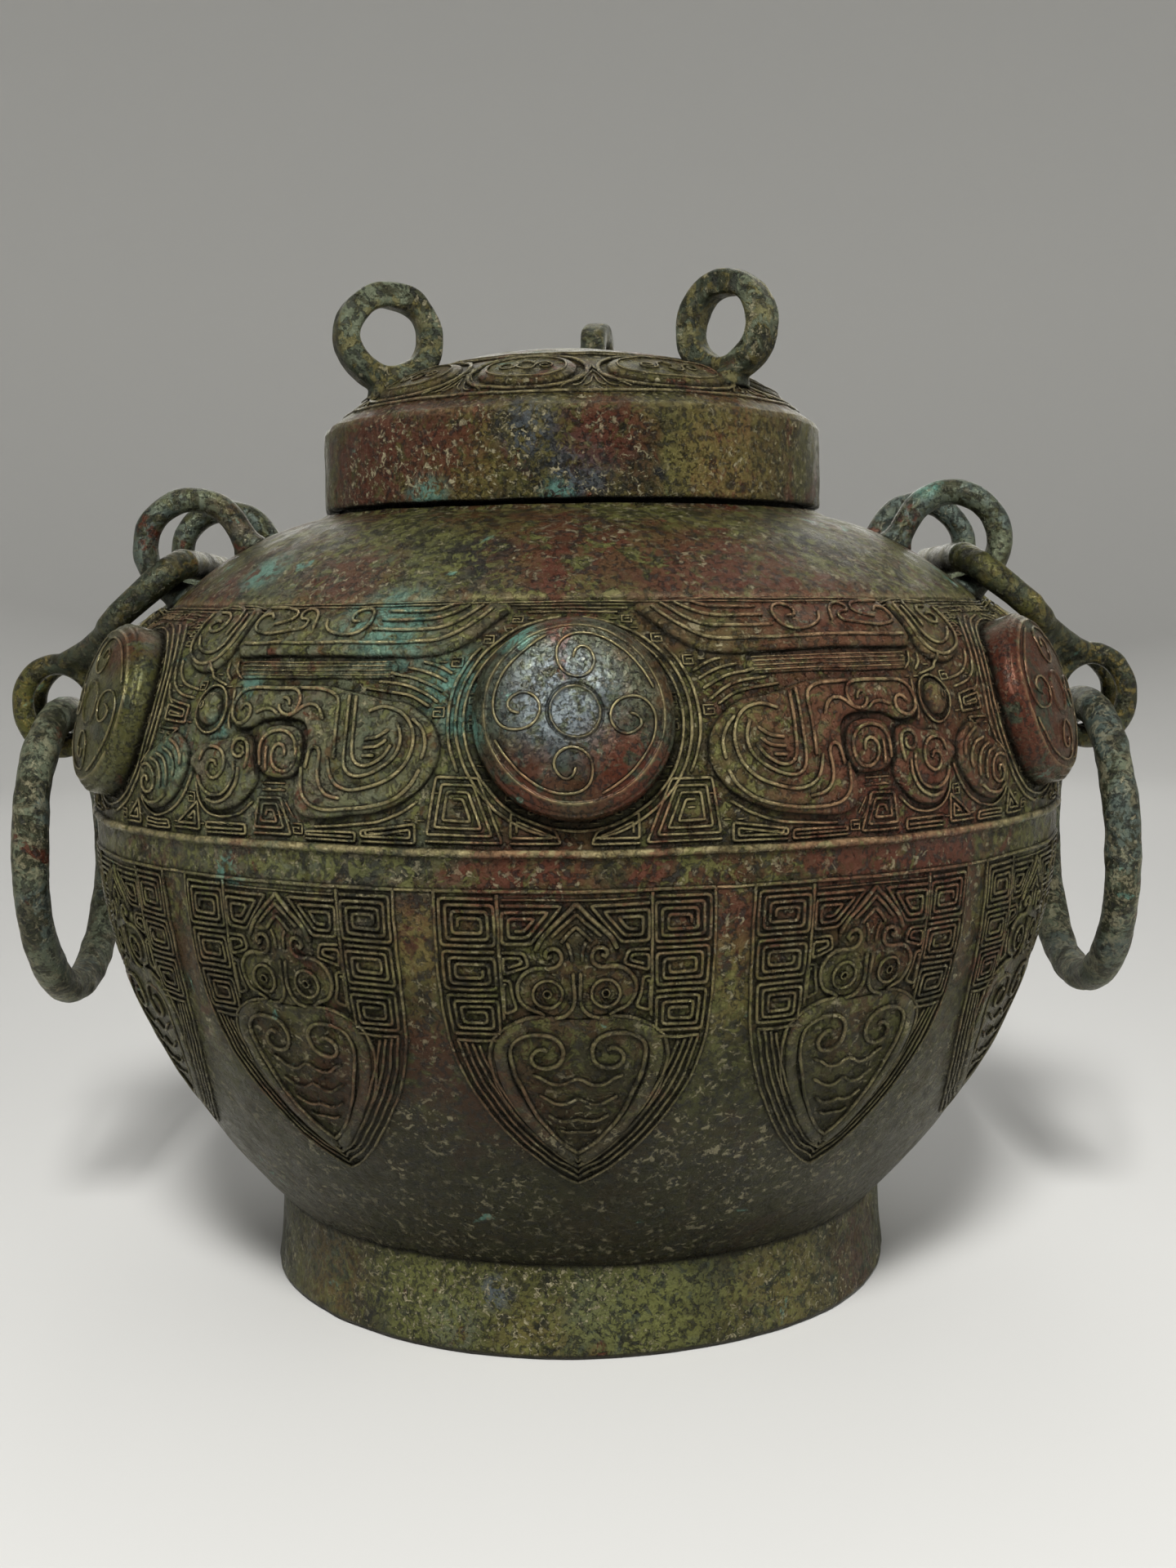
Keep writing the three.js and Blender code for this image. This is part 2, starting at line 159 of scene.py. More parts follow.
# Radii at which the flat ornament keeps its width, and how deep its edges lie
FRIEZE_RADIUS = 145.0
BELLY_RADIUS = 147.0
DOME_RADIUS = 58.0
SINK = 0.35
SECTOR = FRIEZE_RADIUS * math.pi / 3
BOSS_LEVEL = 30.3

# Where a link's eye lies on the frieze
REST_HALF_WIDTH = 10.5
REST_SIDE_FADE = 3.5
REST_PLACE = 25.5
REST_HALF_HEIGHT = 8.0
REST_END_FADE = 3.0
RUBBED_DEPTH = 0.3


class Outline:
    """A cubic curve of radius and height, followed by its own length."""

    def __init__(self, *corners):
        t = np.linspace(0, 1, 801)[:, None]
        a, b, c, d = np.array(corners, float)
        self.points = (1 - t) ** 3 * a + 3 * (1 - t) ** 2 * t * b + 3 * (1 - t) * t**2 * c + t**3 * d
        steps = np.hypot(*np.diff(self.points, axis=0).T)
        self.places = np.concatenate([[0], np.cumsum(steps)])
        self.length = float(self.places[-1])

    def at(self, place):
        """The point at a length along the curve, or one point for each length."""
        return np.stack([np.interp(place, self.places, self.points[:, i]) for i in (0, 1)], -1)

    def normal(self, place):
        """The outward direction there."""
        ahead = self.at(np.minimum(np.asarray(place) + 0.2, self.length))
        behind = self.at(np.maximum(np.asarray(place) - 0.2, 0))
        along = ahead - behind
        across = np.stack([along[..., 1], -along[..., 0]], -1)
        return across / np.linalg.norm(across, axis=-1, keepdims=True)

    def beside(self, place, distance):
        """The point there, moved outwards, or inwards where distance is negative."""
        return self.at(place) + self.normal(place) * distance

    def steps(self, spacing, distance=0.0, first=0.0, last=1.0):
        """Points at even steps over a share of the curve, all moved outwards by distance."""
        count = max(2, round(self.length * (last - first) / spacing))
        places = np.linspace(first * self.length, last * self.length, count + 1)
        return [tuple(p) for p in self.beside(places, distance)]


ridge_low = WAIST_HEIGHT - RIDGE_WIDTH / 2
ridge_high = WAIST_HEIGHT + RIDGE_WIDTH / 2
frieze_top = SHOULDER_HEIGHT - SHOULDER_STEP
belly = Outline(
    (FOOT_TOP, FOOT_HEIGHT),
    (FOOT_TOP + 21.5, FOOT_HEIGHT + 21.5),
    (WAIST, ridge_low - 52.8),
    (WAIST, ridge_low),
)
frieze = Outline(
    (WAIST, ridge_high),
    (WAIST, ridge_high + 7),
    (SHOULDER + 27.5, frieze_top - 15.4),
    (SHOULDER, frieze_top),
)
shoulder = Outline(
    (SHOULDER, SHOULDER_HEIGHT),
    (SHOULDER - 28.5, SHOULDER_HEIGHT + 26.3),
    (COLLAR, COLLAR_HEIGHT - 2.7),
    (COLLAR, COLLAR_HEIGHT),
)
dome = Outline(
    (SKIRT_OUT, SKIRT_TOP),
    (SKIRT_OUT * 0.62, SKIRT_TOP + (DOME_TOP - SKIRT_TOP) * 0.83),
    (SKIRT_OUT * 0.4, DOME_TOP),
    (0, DOME_TOP),
)
boss_out, boss_level = frieze.at(BOSS_PLACE * frieze.length)


def waves(points, moved, seed, sizes):
    """Adds to moved, for each wave length and height in sizes, three random waves along each axis."""
    random = np.random.default_rng(seed)
    for size, reach in sizes:
        for axis in range(3):
            for _ in range(3):
                direction = random.normal(size=3)
                direction *= 2 * math.pi / (size * random.uniform(0.7, 1.4)) / np.linalg.norm(direction)
                moved[:, axis] += reach * np.sin(points @ direction + random.uniform(0, 6.28))
    return moved


def warp(points):
    """The slow unevenness of a casting, which leaves the foot's edge level."""
    share = math.sqrt(3)
    moved = waves(points, points.copy(), 11, ((70, 0.30 / share), (24, 0.12 / share), (6, 0.07 / share)))
    lifted = np.clip(points[:, 2] / LEVEL_BELOW, 0, 1)
    moved[:, 2] = points[:, 2] + (moved[:, 2] - points[:, 2]) * lifted
    return moved


def rod_warp(points):
    """The casting's unevenness with the finer dents of a hand-worked rod."""
    return waves(points, warp(points), 5, ((12, 0.07), (5, 0.03)))


# Meshes
def make_mesh(name, points, faces, crest=None, shape=warp):
    """A smooth mesh from millimetre points and arrays of faces with three or four corners."""
    mesh = bpy.data.meshes.new(name)
    place = shape(np.asarray(points, float)) * MM
    mesh.vertices.add(len(place))
    mesh.vertices.foreach_set("co", place.astype(np.float32).ravel())
    faces = [np.asarray(f, np.int32) for f in faces if len(f)]
    corners = np.concatenate([f.ravel() for f in faces])
    sizes = np.concatenate([np.full(len(f), f.shape[1], np.int32) for f in faces])
    mesh.loops.add(len(corners))
    mesh.loops.foreach_set("vertex_index", corners)
    mesh.polygons.add(len(sizes))
    mesh.polygons.foreach_set("loop_start", (np.cumsum(sizes) - sizes).astype(np.int32))
    mesh.polygons.foreach_set("use_smooth", np.ones(len(sizes), bool))
    if crest is not None:
        shades = mesh.attributes.new("crest", "FLOAT", "POINT").data
        shades.foreach_set("value", np.asarray(crest, np.float32))
    mesh.update(calc_edges=True)
    mesh.validate()
    return mesh


def place_piece(name, mesh, body, slot, *nodes):
    """A piece that rides a body, wears a finish and stands in for CAD nodes."""
    piece = bpy.data.objects.new(name, mesh)
    bpy.context.collection.objects.link(piece)
    mesh.materials.append(materials[slot])
    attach(piece, body)
    if nodes:
        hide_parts(*nodes)


def place_form(name, form, body, slot, *nodes, crest=None, shape=warp):
    """A piece made of a form's points and faces."""
    place_piece(name, make_mesh(name, *form, crest, shape), body, slot, *nodes)


def lathe(profile, segments):
    """Points and faces of a closed (radius, height) outline turned about Z; radius 0 makes one point."""
    angles = np.arange(segments) * 2 * math.pi / segments
    points, rows = [], []
    for radius, height in profile:
        first = len(points)
        if radius < 1e-6:
            points.append((0, 0, height))
            rows.append(np.full(segments, first))
        else:
            points += [(radius * math.sin(a), -radius * math.cos(a), height) for a in angles]
            rows.append(first + np.arange(segments))
    if profile[0][0] >= 1e-6:
        rows.append(rows[0])
    quads, tris = [], []
    for low, high in zip(rows, rows[1:]):
        low_next, high_next = np.roll(low, -1), np.roll(high, -1)
        if low[0] == low[1]:
            tris.append(np.stack([low, high_next, high], -1))
        elif high[0] == high[1]:
            tris.append(np.stack([low, low_next, high], -1))
        else:
            quads.append(np.stack([low, low_next, high_next, high], -1))
    return np.array(points), [np.concatenate(f) for f in (quads, tris) if f]


def tube(path, radii, sides, closed=False):
    """Points and faces of a rod along a path, with flat ends, or a ring where it is closed."""
    path = np.asarray(path, float)
    radii = np.broadcast_to(np.asarray(radii, float), (len(path),))
    if closed:
        along = np.roll(path, -1, 0) - np.roll(path, 1, 0)
    else:
        along = np.gradient(path, axis=0)
    along /= np.linalg.norm(along, axis=1, keepdims=True)
    guide = np.array([0.0, 1.0, 0.0]) if abs(along[:, 1]).max() < 0.9 else np.array([1.0, 0.0, 0.0])
    if abs(along @ guide).max() > 0.95:
        guide = np.array([0.31, 0.27, 0.91])
    side = guide - along * (along @ guide)[:, None]
    side /= np.linalg.norm(side, axis=1, keepdims=True)
    other = np.cross(along, side)
    angles = np.arange(sides) * 2 * math.pi / sides
    ring = side[:, None] * np.cos(angles)[None, :, None] + other[:, None] * np.sin(angles)[None, :, None]
    points = (path[:, None] + ring * radii[:, None, None]).reshape(-1, 3)
    rows = np.arange(len(points)).reshape(len(path), sides)
    if closed:
        rows = np.concatenate([rows, rows[:1]])
    low, high = rows[:-1], rows[1:]
    quads = np.stack([low, np.roll(low, -1, 1), np.roll(high, -1, 1), high], -1).reshape(-1, 4)
    if closed:
        return points, [quads]
    ends = np.array([path[0], path[-1]])
    points = np.concatenate([points, ends])
    start, stop = len(points) - 2, len(points) - 1
    caps = [np.stack([np.full(sides, start), np.roll(rows[0], -1), rows[0]], -1)]
    caps.append(np.stack([np.full(sides, stop), rows[-1], np.roll(rows[-1], -1)], -1))
    return points, [quads, np.concatenate(caps)]


def join(*parts):
    """One set of points and faces from several."""
    points, faces, first = [], [], 0
    for part_points, part_faces in parts:
        points.append(part_points)
        faces += [np.asarray(f) + first for f in part_faces]
        first += len(part_points)
    return np.concatenate(points), faces


def turned(points, degrees):
    """Points turned about the vessel's axis."""
    angle = math.radians(degrees)
    along, across = math.cos(angle), math.sin(angle)
    return points @ np.array([[along, across, 0], [-across, along, 0], [0, 0, 1]])


# Flat drawing
def curve(points, step=1.1, closed=False):
    """A smooth line through given points, with even steps."""
    points = np.asarray(points, float)
    if closed:
        points = np.concatenate([points[-1:], points, points[:2]])
    else:
        points = np.concatenate([[2 * points[0] - points[1]], points, [2 * points[-1] - points[-2]]])
    t = np.linspace(0, 1, 12, endpoint=False)[:, None]
    pieces = []
    for a, b, c, d in zip(points, points[1:], points[2:], points[3:]):
        square_part, cube_part = 2 * a - 5 * b + 4 * c - d, 3 * b - a - 3 * c + d
        pieces.append(0.5 * (2 * b + (c - a) * t + square_part * t**2 + cube_part * t**3))
    if not closed:
        pieces.append(points[-2:-1])
    line = np.concatenate(pieces)
    if closed:
        line = np.concatenate([line, line[:1]])
    return evenly(line, step)[: -1 if closed else None]


def evenly(line, step):
    """A line again, with points at even steps."""
    lengths = np.concatenate([[0], np.cumsum(np.hypot(*np.diff(line, axis=0).T))])
    count = max(2, round(lengths[-1] / step))
    places = np.linspace(0, lengths[-1], count + 1)
    return np.stack([np.interp(places, lengths, line[:, i]) for i in (0, 1)], -1)


def bent(points, radius, reach=7.0):
    """Straight stretches with small rounded corners, split where they are longer than reach."""
    points = np.asarray(points, float)
    line = [points[0]]
    for before, corner, after in zip(points, points[1:], points[2:]):
        back, ahead = before - corner, after - corner
        if not radius:
            line.append(corner)
            continue
        cut = min(radius, np.linalg.norm(back) / 2.2, np.linalg.norm(ahead) / 2.2)
        start = corner + back / np.linalg.norm(back) * cut
        stop = corner + ahead / np.linalg.norm(ahead) * cut
        line += [start, (start + stop) / 4 + corner / 2, stop]
    line.append(points[-1])
    split = [line[0]]
    for a, b in zip(line, line[1:]):
        count = max(1, math.ceil(np.linalg.norm(b - a) / reach))
        split += [a + (b - a) * i / count for i in range(1, count + 1)]
    return np.array(split)


def arc(centre, radius, start, stop, step):
    """A circle's stretch from one angle to another, in degrees, 0 to the right and 90 up."""
    count = max(3, round(abs(math.radians(stop - start)) * radius / step))
    angles = np.radians(np.linspace(start, stop, count + 1))
    return np.stack([centre[0] + radius * np.cos(angles), centre[1] + radius * np.sin(angles)], -1)


def curl(centre, inner, outer, start, turns, step, tall=1.0):
    """A spiral that opens from inner to outer radius. A negative number of turns runs clockwise."""
    count = max(6, round(abs(turns) * math.pi * (inner + outer) / step))
    share = np.linspace(0, 1, count + 1)
    angles = math.radians(start) + 2 * math.pi * turns * share
    radius = inner + (outer - inner) * share
    return np.stack([centre[0] + radius * np.cos(angles), centre[1] + radius * tall * np.sin(angles)], -1)


def corner_spiral(corners, pitch, turns, round_corner=0.55):
    """A thunder-pattern spiral: it follows the sides of a convex shape inwards."""
    corners = np.asarray(corners, float)
    count = len(corners)
    area = sum(a[0] * b[1] - a[1] * b[0] for a, b in zip(corners, np.roll(corners, -1, 0)))
    turn = 1 if area > 0 else -1
    sides = []
    for a, b in zip(corners, np.roll(corners, -1, 0)):
        along = (b - a) / np.linalg.norm(b - a)
        sides.append((a, along, turn * np.array([-along[1], along[0]])))

    def meet(first, second):
        lines = []
        for index in (first, second):
            a, along, inward = sides[index % count]
            lines.append((a + inward * pitch * max(0, index // count), along))
        (p, u), (q, v) = lines
        cross = u[0] * v[1] - u[1] * v[0]
        gap = q - p
        return p + u * (gap[0] * v[1] - gap[1] * v[0]) / cross

    steps = round(turns * count)
    return bent([meet(i - 1, i) for i in range(steps + 1)], round_corner)


def square(centre, width, height):
    """A rectangle's corners, clockwise from the upper left."""
    x, y = centre
    left, right, low, high = x - width / 2, x + width / 2, y - height / 2, y + height / 2
    return [(left, high), (right, high), (right, low), (left, low)]


def inside(points, border):
    """Which points lie inside a closed border."""
    x, y = points[:, 0:1], points[:, 1:2]
    x0, y0 = border[:, 0], border[:, 1]
    x1, y1 = np.roll(x0, -1), np.roll(y0, -1)
    spans = (y0 > y) != (y1 > y)
    slope = (x1 - x0) / np.where(y1 == y0, 1e-9, y1 - y0)
    return (spans & (x < x0 + (y - y0) * slope)).sum(1) % 2 == 1


def distance_to(points, border):
    """Each point's distance to a closed border."""
    a, b = border, np.roll(border, -1, 0)
    side = b - a
    gap = points[:, None] - a[None]
    share = np.clip((gap * side).sum(-1) / np.maximum((side**2).sum(-1), 1e-12), 0, 1)
    return np.linalg.norm(gap - side * share[..., None], axis=-1).min(1)


class Relief:
    """Raised plates and lines, drawn flat as (x, place) with a height over the ground."""

    def __init__(self):
        self.parts = []
        self.plates = []
        self.lines = []

    def level(self, points):
        """The height of the plates under some points."""
        height = np.zeros(len(points))
        for border, rise, edge in self.plates:
            within = inside(points, border)
            if within.any():
                share = np.clip(distance_to(points[within], border) / edge, 0, 1)
                height[within] = np.maximum(height[within], rise * np.sqrt(1 - (1 - share) ** 2))
        return height

    def plate(self, border, rise, edge=1.1, grid=2.4):
        """A raised field with a rounded edge."""
        border = np.asarray(border, float)
        low, high = border.min(0), border.max(0)
        x, y = np.meshgrid(np.arange(low[0], high[0], grid), np.arange(low[1], high[1], grid * 0.87))
        x = x + (np.arange(len(x)) % 2)[:, None] * grid / 2
        spread = np.stack([x.ravel(), y.ravel()], -1)
        along = np.roll(border, -1, 0) - np.roll(border, 1, 0)
        across = np.stack([-along[:, 1], along[:, 0]], -1)
        across = across / np.maximum(np.linalg.norm(along, axis=1), 1e-9)[:, None]
        kept = []
        for inset in (0.16 * edge, 0.5 * edge, edge):
            for way in (1, -1):
                ring = border + across * inset * way
                fits = inside(ring, border)
                fits &= distance_to(ring, border) > inset * 0.93
                kept.append(ring[fits])
        fits = inside(spread, border)
        fits &= distance_to(spread, border) > edge * 1.5
        kept.append(spread[fits])
        inner = np.concatenate(kept)
        share = np.clip(distance_to(inner, border) / edge, 0, 1)
        flat = np.concatenate([border, inner])
        edges = [(i, (i + 1) % len(border)) for i in range(len(border))]
        made = geometry.delaunay_2d_cdt([Vector(p) for p in flat], edges, [], 1, 1e-5)
        shown = np.array([tuple(p) for p in made[0]])
        source = np.array([group[0] if group else 0 for group in made[3]])
        domed = rise * np.sqrt(1 - (1 - share) ** 2)
        heights = np.concatenate([np.full(len(border), -SINK), domed])[source]
        faces = np.array([tuple(f) for f in made[2] if len(f) == 3])
        # the plate's top gets a little of the crest lightening, partly wear and partly painted highlight
        crest = np.where(heights > rise * 0.3, 0.12, 0.0)
        self.parts.append((np.column_stack([shown, heights]), [faces], crest))
        self.plates.append((border, rise, edge))

    def line(self, points, width, height, closed=False, shade=1.0):
        """A raised thread with a rounded back, closed under the surface."""
        points = np.asarray(points, float)
        if closed:
            ahead, behind = np.roll(points, -1, 0) - points, points - np.roll(points, 1, 0)
        else:
            ahead = np.diff(points, axis=0, append=points[-1:] * 2 - points[-2:-1])
            behind = np.diff(points, axis=0, prepend=points[:1] * 2 - points[1:2])
        ahead /= np.maximum(np.linalg.norm(ahead, axis=1, keepdims=True), 1e-9)
        behind /= np.maximum(np.linalg.norm(behind, axis=1, keepdims=True), 1e-9)
        along = ahead + behind
        along /= np.maximum(np.linalg.norm(along, axis=1, keepdims=True), 1e-9)
        mitre = 1 / np.maximum((along * ahead).sum(1), 0.72)
        across = np.stack([-along[:, 1], along[:, 0]], -1) * mitre[:, None] * width / 2
        base = self.level(points)
        offsets = np.array([-1, -0.62, 0, 0.62, 1])
        rises = np.array([-SINK, 0.76 * height, height, 0.76 * height, -SINK])
        # the crest marks the thread's top for lightening, partly wear and partly painted highlight
        crest = np.array([0, 0.75, 1, 0.75, 0]) * shade
        flat = points[:, None] + across[:, None] * offsets[None, :, None]
        tall = base[:, None] + rises[None]
        shades = np.broadcast_to(crest, tall.shape)
        if not closed:
            tips = []
            for i, way in ((0, -1), (-1, 1)):
                tip = points[i] + along[i] * way * width * 0.42
                tips.append(tip + across[i] * offsets[:, None] * 0.45)
            flat = np.concatenate([tips[0][None], flat, tips[1][None]])
            low = np.full((1, 5), -SINK)
            tall = np.concatenate([base[0] + low, tall, base[-1] + low])
            shades = np.concatenate([low * 0, shades, low * 0])
        rows = np.arange(flat.shape[0] * 5).reshape(-1, 5)
        faces = []
        if closed:
            rows = np.concatenate([rows, rows[:1]])
        else:
            caps = np.array([[0, 1, 4], [1, 3, 4], [1, 2, 3]])
            faces.append(np.concatenate([rows[0][caps], rows[-1][caps[:, ::-1]]]))
        low, high = rows[:-1], rows[1:]
        faces.append(np.stack([np.roll(low, -1, 1), low, high, np.roll(high, -1, 1)], -1).reshape(-1, 4))
        self.parts.append((np.column_stack([flat.reshape(-1, 2), tall.ravel()]), faces, shades.ravel()))
        self.lines.append(points)

    def both(self, points, width, height, shade=1.0):
        """A line and its mirror image about x = 0."""
        points = np.asarray(points, float)
        self.line(points, width, height, shade=shade)
        self.line((points * [-1, 1])[::-1], width, height, shade=shade)

    def gathered(self, mirror=False):
        """All points, faces and crest shades, as drawn or mirrored about x = 0."""
        points, faces = join(*[(p, f) for p, f, _ in self.parts])
        crest = np.concatenate([c for _, _, c in self.parts])
        if mirror:
            points = points * [-1, 1, 1]
            faces = [f[:, ::-1] for f in faces]
        return points, faces, crest


def wrapped(points, outline, radius, azimuth=0.0):
    """Flat (x, place, height) points laid on a turned surface."""
    x, place, height = points.T
    base = outline.at(place)
    out = outline.normal(place)
    angle = x / radius + math.radians(azimuth)
    reach = base[:, 0] + out[:, 0] * height
    return np.stack([reach * np.sin(angle), -reach * np.cos(angle), base[:, 1] + out[:, 1] * height], -1)


def worn_flat(points, azimuth):
    """Flat frieze points with the relief rubbed away where a link's eye lies against it."""
    x, place, height = points.T
    across = abs(FRIEZE_RADIUS * np.cos(x / FRIEZE_RADIUS + math.radians(azimuth)))
    beside = np.clip((across - REST_HALF_WIDTH) / REST_SIDE_FADE, 0, 1)
    over = np.clip((abs(place - REST_PLACE) - REST_HALF_HEIGHT) / REST_END_FADE, 0, 1)
    kept = np.maximum(beside, over)
    kept = kept * kept * (3 - 2 * kept)
    return np.column_stack([x, place, height * kept - RUBBED_DEPTH * (1 - kept)])


def place_ornament(name, copies, body, slot):
    """One piece from several wrapped copies, each with its points, faces and crest shades."""
    form = join(*[(points, faces) for points, faces, _ in copies])
    place_form(name, form, body, slot, crest=np.concatenate([crest for _, _, crest in copies]))


# The dragon's raised fields: x across from the front boss, and the place up the frieze
CREST = (
    (-96, 46.8), (-88, 46.6), (-78, 46.9), (-60, 46.6), (-45, 46.2), (-36, 46.3), (-31, 47.7),
    (-27.4, 49.8), (-24.4, 52.4), (-21.6, 55.6), (-18.8, 59), (-16.4, 61.6), (-16.8, 62.7), (-20, 62.9),
    (-26, 63.3), (-36, 64.3), (-50, 64.6), (-75, 64.6), (-94, 64.6), (-97.2, 63), (-97.6, 56),
    (-97.6, 49),
)
BODY = (
    (-91, 31.5), (-90.2, 35.6), (-87.5, 38), (-80, 38.6), (-62, 38.4), (-56.5, 37.6), (-50, 36),
    (-46, 34.9), (-40, 34.1), (-36, 31.7), (-32.6, 28), (-31.2, 24), (-31.5, 20), (-33.5, 16),
    (-37, 12.5), (-42, 9.5), (-48, 7.5), (-57, 6.3), (-64, 5.8), (-68, 7), (-69.6, 10.5), (-69, 15),
    (-67.2, 18), (-65.8, 21), (-65.7, 26), (-67.5, 29), (-72, 29.8), (-80, 29.4), (-84, 27.4),
    (-88.5, 27.6), (-90.7, 29.6),
)
SNOUT = (
    (-104, 18.5), (-101, 22), (-97, 24.4), (-92.5, 24.6), (-89.5, 25.3), (-86.5, 26.4), (-83.5, 25.9),
    (-81.8, 23.5), (-81.4, 19.5), (-80.4, 15), (-83, 11.2), (-87, 8), (-92, 6.5), (-96.5, 7.3),
    (-99.4, 10.5), (-100.2, 14.5), (-102, 17),
)
VOLUTE = (
    (-80.8, 24.5), (-79.5, 27.2), (-75, 28.5), (-70, 28), (-67.2, 25.8), (-66.6, 22), (-67.4, 18),
    (-69.6, 15.8), (-73, 15.3), (-77.5, 15.8), (-80.2, 18), (-80.8, 21),
)
CLAW = (
    (-126.5, 12), (-125.5, 7.8), (-121.5, 5.6), (-116, 6.3), (-111, 8.6), (-107.5, 12.2), (-105, 16),
    (-104.4, 19), (-106, 22.5), (-110, 25.6), (-114, 25), (-119, 22), (-123.5, 19.5), (-126.3, 16),
)
FOREHEAD = (
    (-121, 60), (-120.5, 52), (-118, 46.5), (-113, 43.3), (-107, 42), (-102, 43.5), (-99.4, 47.5),
    (-98.8, 54), (-99.6, 61), (-103, 64.2), (-112, 64.5), (-119, 63.5),
)
BAR = ((-94.4, 45.5), (-44, 45.2), (-43.4, 40.6), (-91.6, 40.4), (-94.4, 45.5))
VOLUTE_DASHES = (
    ((-79.4, 12.4), (-72.4, 12.4)), ((-79.4, 14.1), (-72.4, 14.1)),
    ((-74.2, 8.9), (-71.2, 4.6)), ((-72.2, 9.4), (-69.9, 5.8)),
)
EYE = (-99.4, 32.4)
PUPIL = (-101.3, 32.9)
